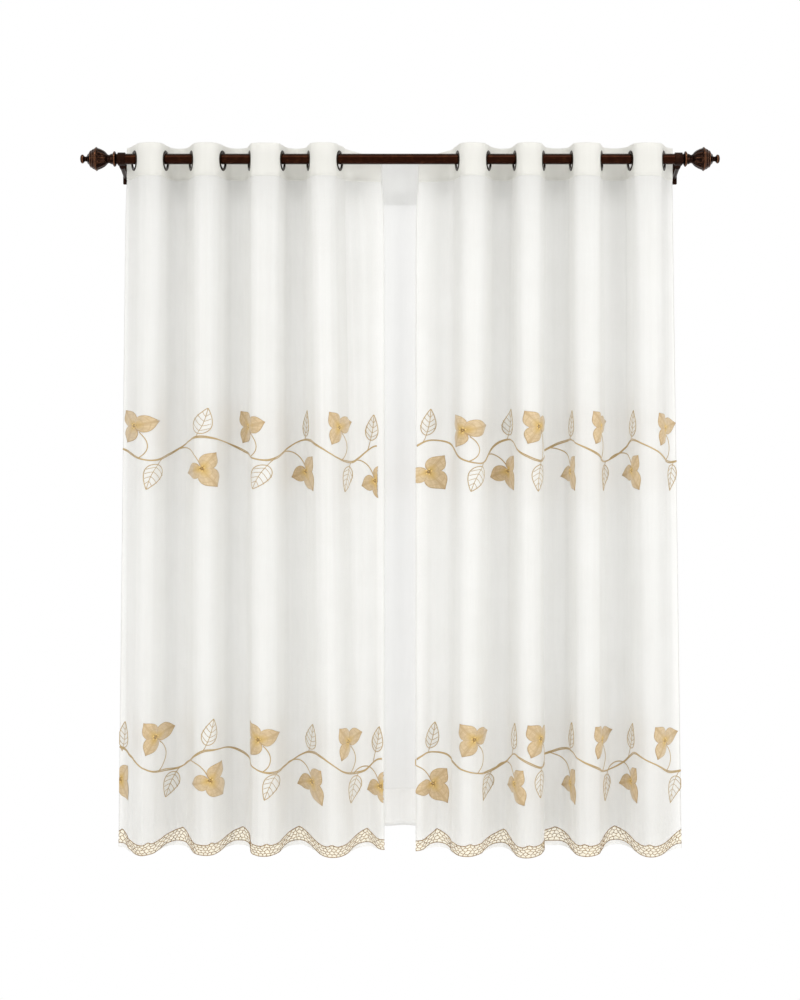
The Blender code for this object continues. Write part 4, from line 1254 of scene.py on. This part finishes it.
# distance past the rod's end, radius (mm)
finialProfile = [
    (0, 0.4), (0, 15), (2.6, 15.2), (4.0, 16.2), (5.2, 18.6), (6.4, 21.2), (7.8, 22.9), (9.4, 23.5),
    (11, 23.1), (12.4, 21.6), (13.6, 19.4), (14.6, 17.6), (16, 16.4), (18.4, 15.8), (20.4, 15.6),
    (22, 14.2), (25, 12.9), (28, 12.5), (31, 14.6), (35, 19.4), (39, 23.2), (43, 25.8), (49, 29),
    (54, 31.1), (58, 32.4), (60, 33), (61.4, 34.6), (63, 36), (64.8, 36), (66.4, 34.6), (67.4, 32.6),
    (69, 33), (70.6, 31.6), (72.4, 30.4), (74.4, 30.8), (76, 28.8), (78, 27.2), (80.5, 25.4), (82, 25.6),
    (83, 24.4), (84.2, 22.2), (86.5, 18.2), (88.6, 15.4), (90, 15.2), (91, 12.4), (92.4, 9.4), (95.5, 7.4),
    (98, 7.4), (100, 8), (102, 10.6), (103.8, 12.6), (106, 13.5), (108.3, 13.3), (110.4, 11.8),
    (111.8, 9.4), (112.6, 6.4), (113, 3), (113, 0.2),
]


def turnedFinial(name, side):
    # the profile turned about the rod's axis; where it is fluted, the radius is cut to
    # radius * (1 - depth * share * (1 - |cos(flutes * turn / 2)|^3))
    profile = np.array(finialProfile) * mm
    far = walked(profile)
    stops = np.unique(np.concatenate([far, np.linspace(0, far[-1], finial["rows"])]))
    along, radius = [np.interp(stops, far, profile[:, k]) for k in (0, 1)]
    turn = np.linspace(0, 2 * np.pi, finial["sides"], endpoint=False)
    fluted = 0
    for begins, ends, share in finial["fluted"]:
        fluted = fluted + share * smoothStep(*begins, along) * (1 - smoothStep(*ends, along))
    crest = np.abs(np.cos(finial["flutes"] * turn / 2)) ** 3
    sized = radius[:, None] * (1 - finial["fluteDepth"] * fluted[:, None] * (1 - crest))
    x = side * (finial["start"] + along)
    y, z = sized * np.cos(turn) - camera["wallGap"], sized * np.sin(turn)
    points = np.stack([np.broadcast_to(x[:, None], sized.shape), y, z], -1)[None]
    uv = np.stack(np.meshgrid(np.linspace(0, 1, len(turn) + 1), stops), -1)[None]
    part = gridPart(points, uv, wrap=True, flip=side < 0)
    index = np.arange(sized.size).reshape(sized.shape)
    closeEnds(part, np.stack([index[0, ::side], index[-1, ::-side]]))
    return addMesh(name, [part], finialBronze)


for side, hang in hangs.items():
    piece = turnedFinial("turnedFinial_" + side, hang["side"])
    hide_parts("finial_" + side)
print("finials turned")


finishes = {
    "main_rod": bronze, "rear_rod": lacquer, "bracket_left": bracketBronze, "bracket_right": bracketBronze,
    "screw_left_1": finialBronze, "screw_left_2": finialBronze,
    "screw_right_1": finialBronze, "screw_right_2": finialBronze,
}
for node, material in finishes.items():
    thing = bpy.data.objects[node]
    for holder in thing.material_slots:
        holder.material = material


def addFloor():
    # a plain floor, as white as the background to the camera
    material, g, out, where = newMaterial("paleFloor")
    face, glow = g.nodes.new("ShaderNodeBsdfDiffuse"), g.nodes.new("ShaderNodeEmission")
    both = g.nodes.new("ShaderNodeMixShader")
    mottle = g.noise(where.outputs["Object"], 3.0)
    g.join(g.blend(mottle, (0.84, 0.84, 0.84), (0.87, 0.87, 0.87)), face.inputs["Color"])
    glow.inputs["Strength"].default_value = light["floorSeen"]
    path = g.nodes.new("ShaderNodeLightPath")
    g.links.new(path.outputs["Is Camera Ray"], both.inputs[0])
    g.links.new(face.outputs[0], both.inputs[1])
    g.links.new(glow.outputs[0], both.inputs[2])
    g.links.new(both.outputs[0], out.inputs["Surface"])
    reach, z = light["floorReach"], light["floorHeight"]
    corners = [(-reach, -reach, z), (reach, -reach, z), (reach, reach, z), (-reach, reach, z)]
    mesh = bpy.data.meshes.new("floor")
    mesh.from_pydata(corners, [], [(0, 1, 2, 3)])
    mesh.materials.append(material)
    floor = bpy.data.objects.new("floor", mesh)
    bpy.context.scene.collection.objects.link(floor)


addFloor()

print("ready")
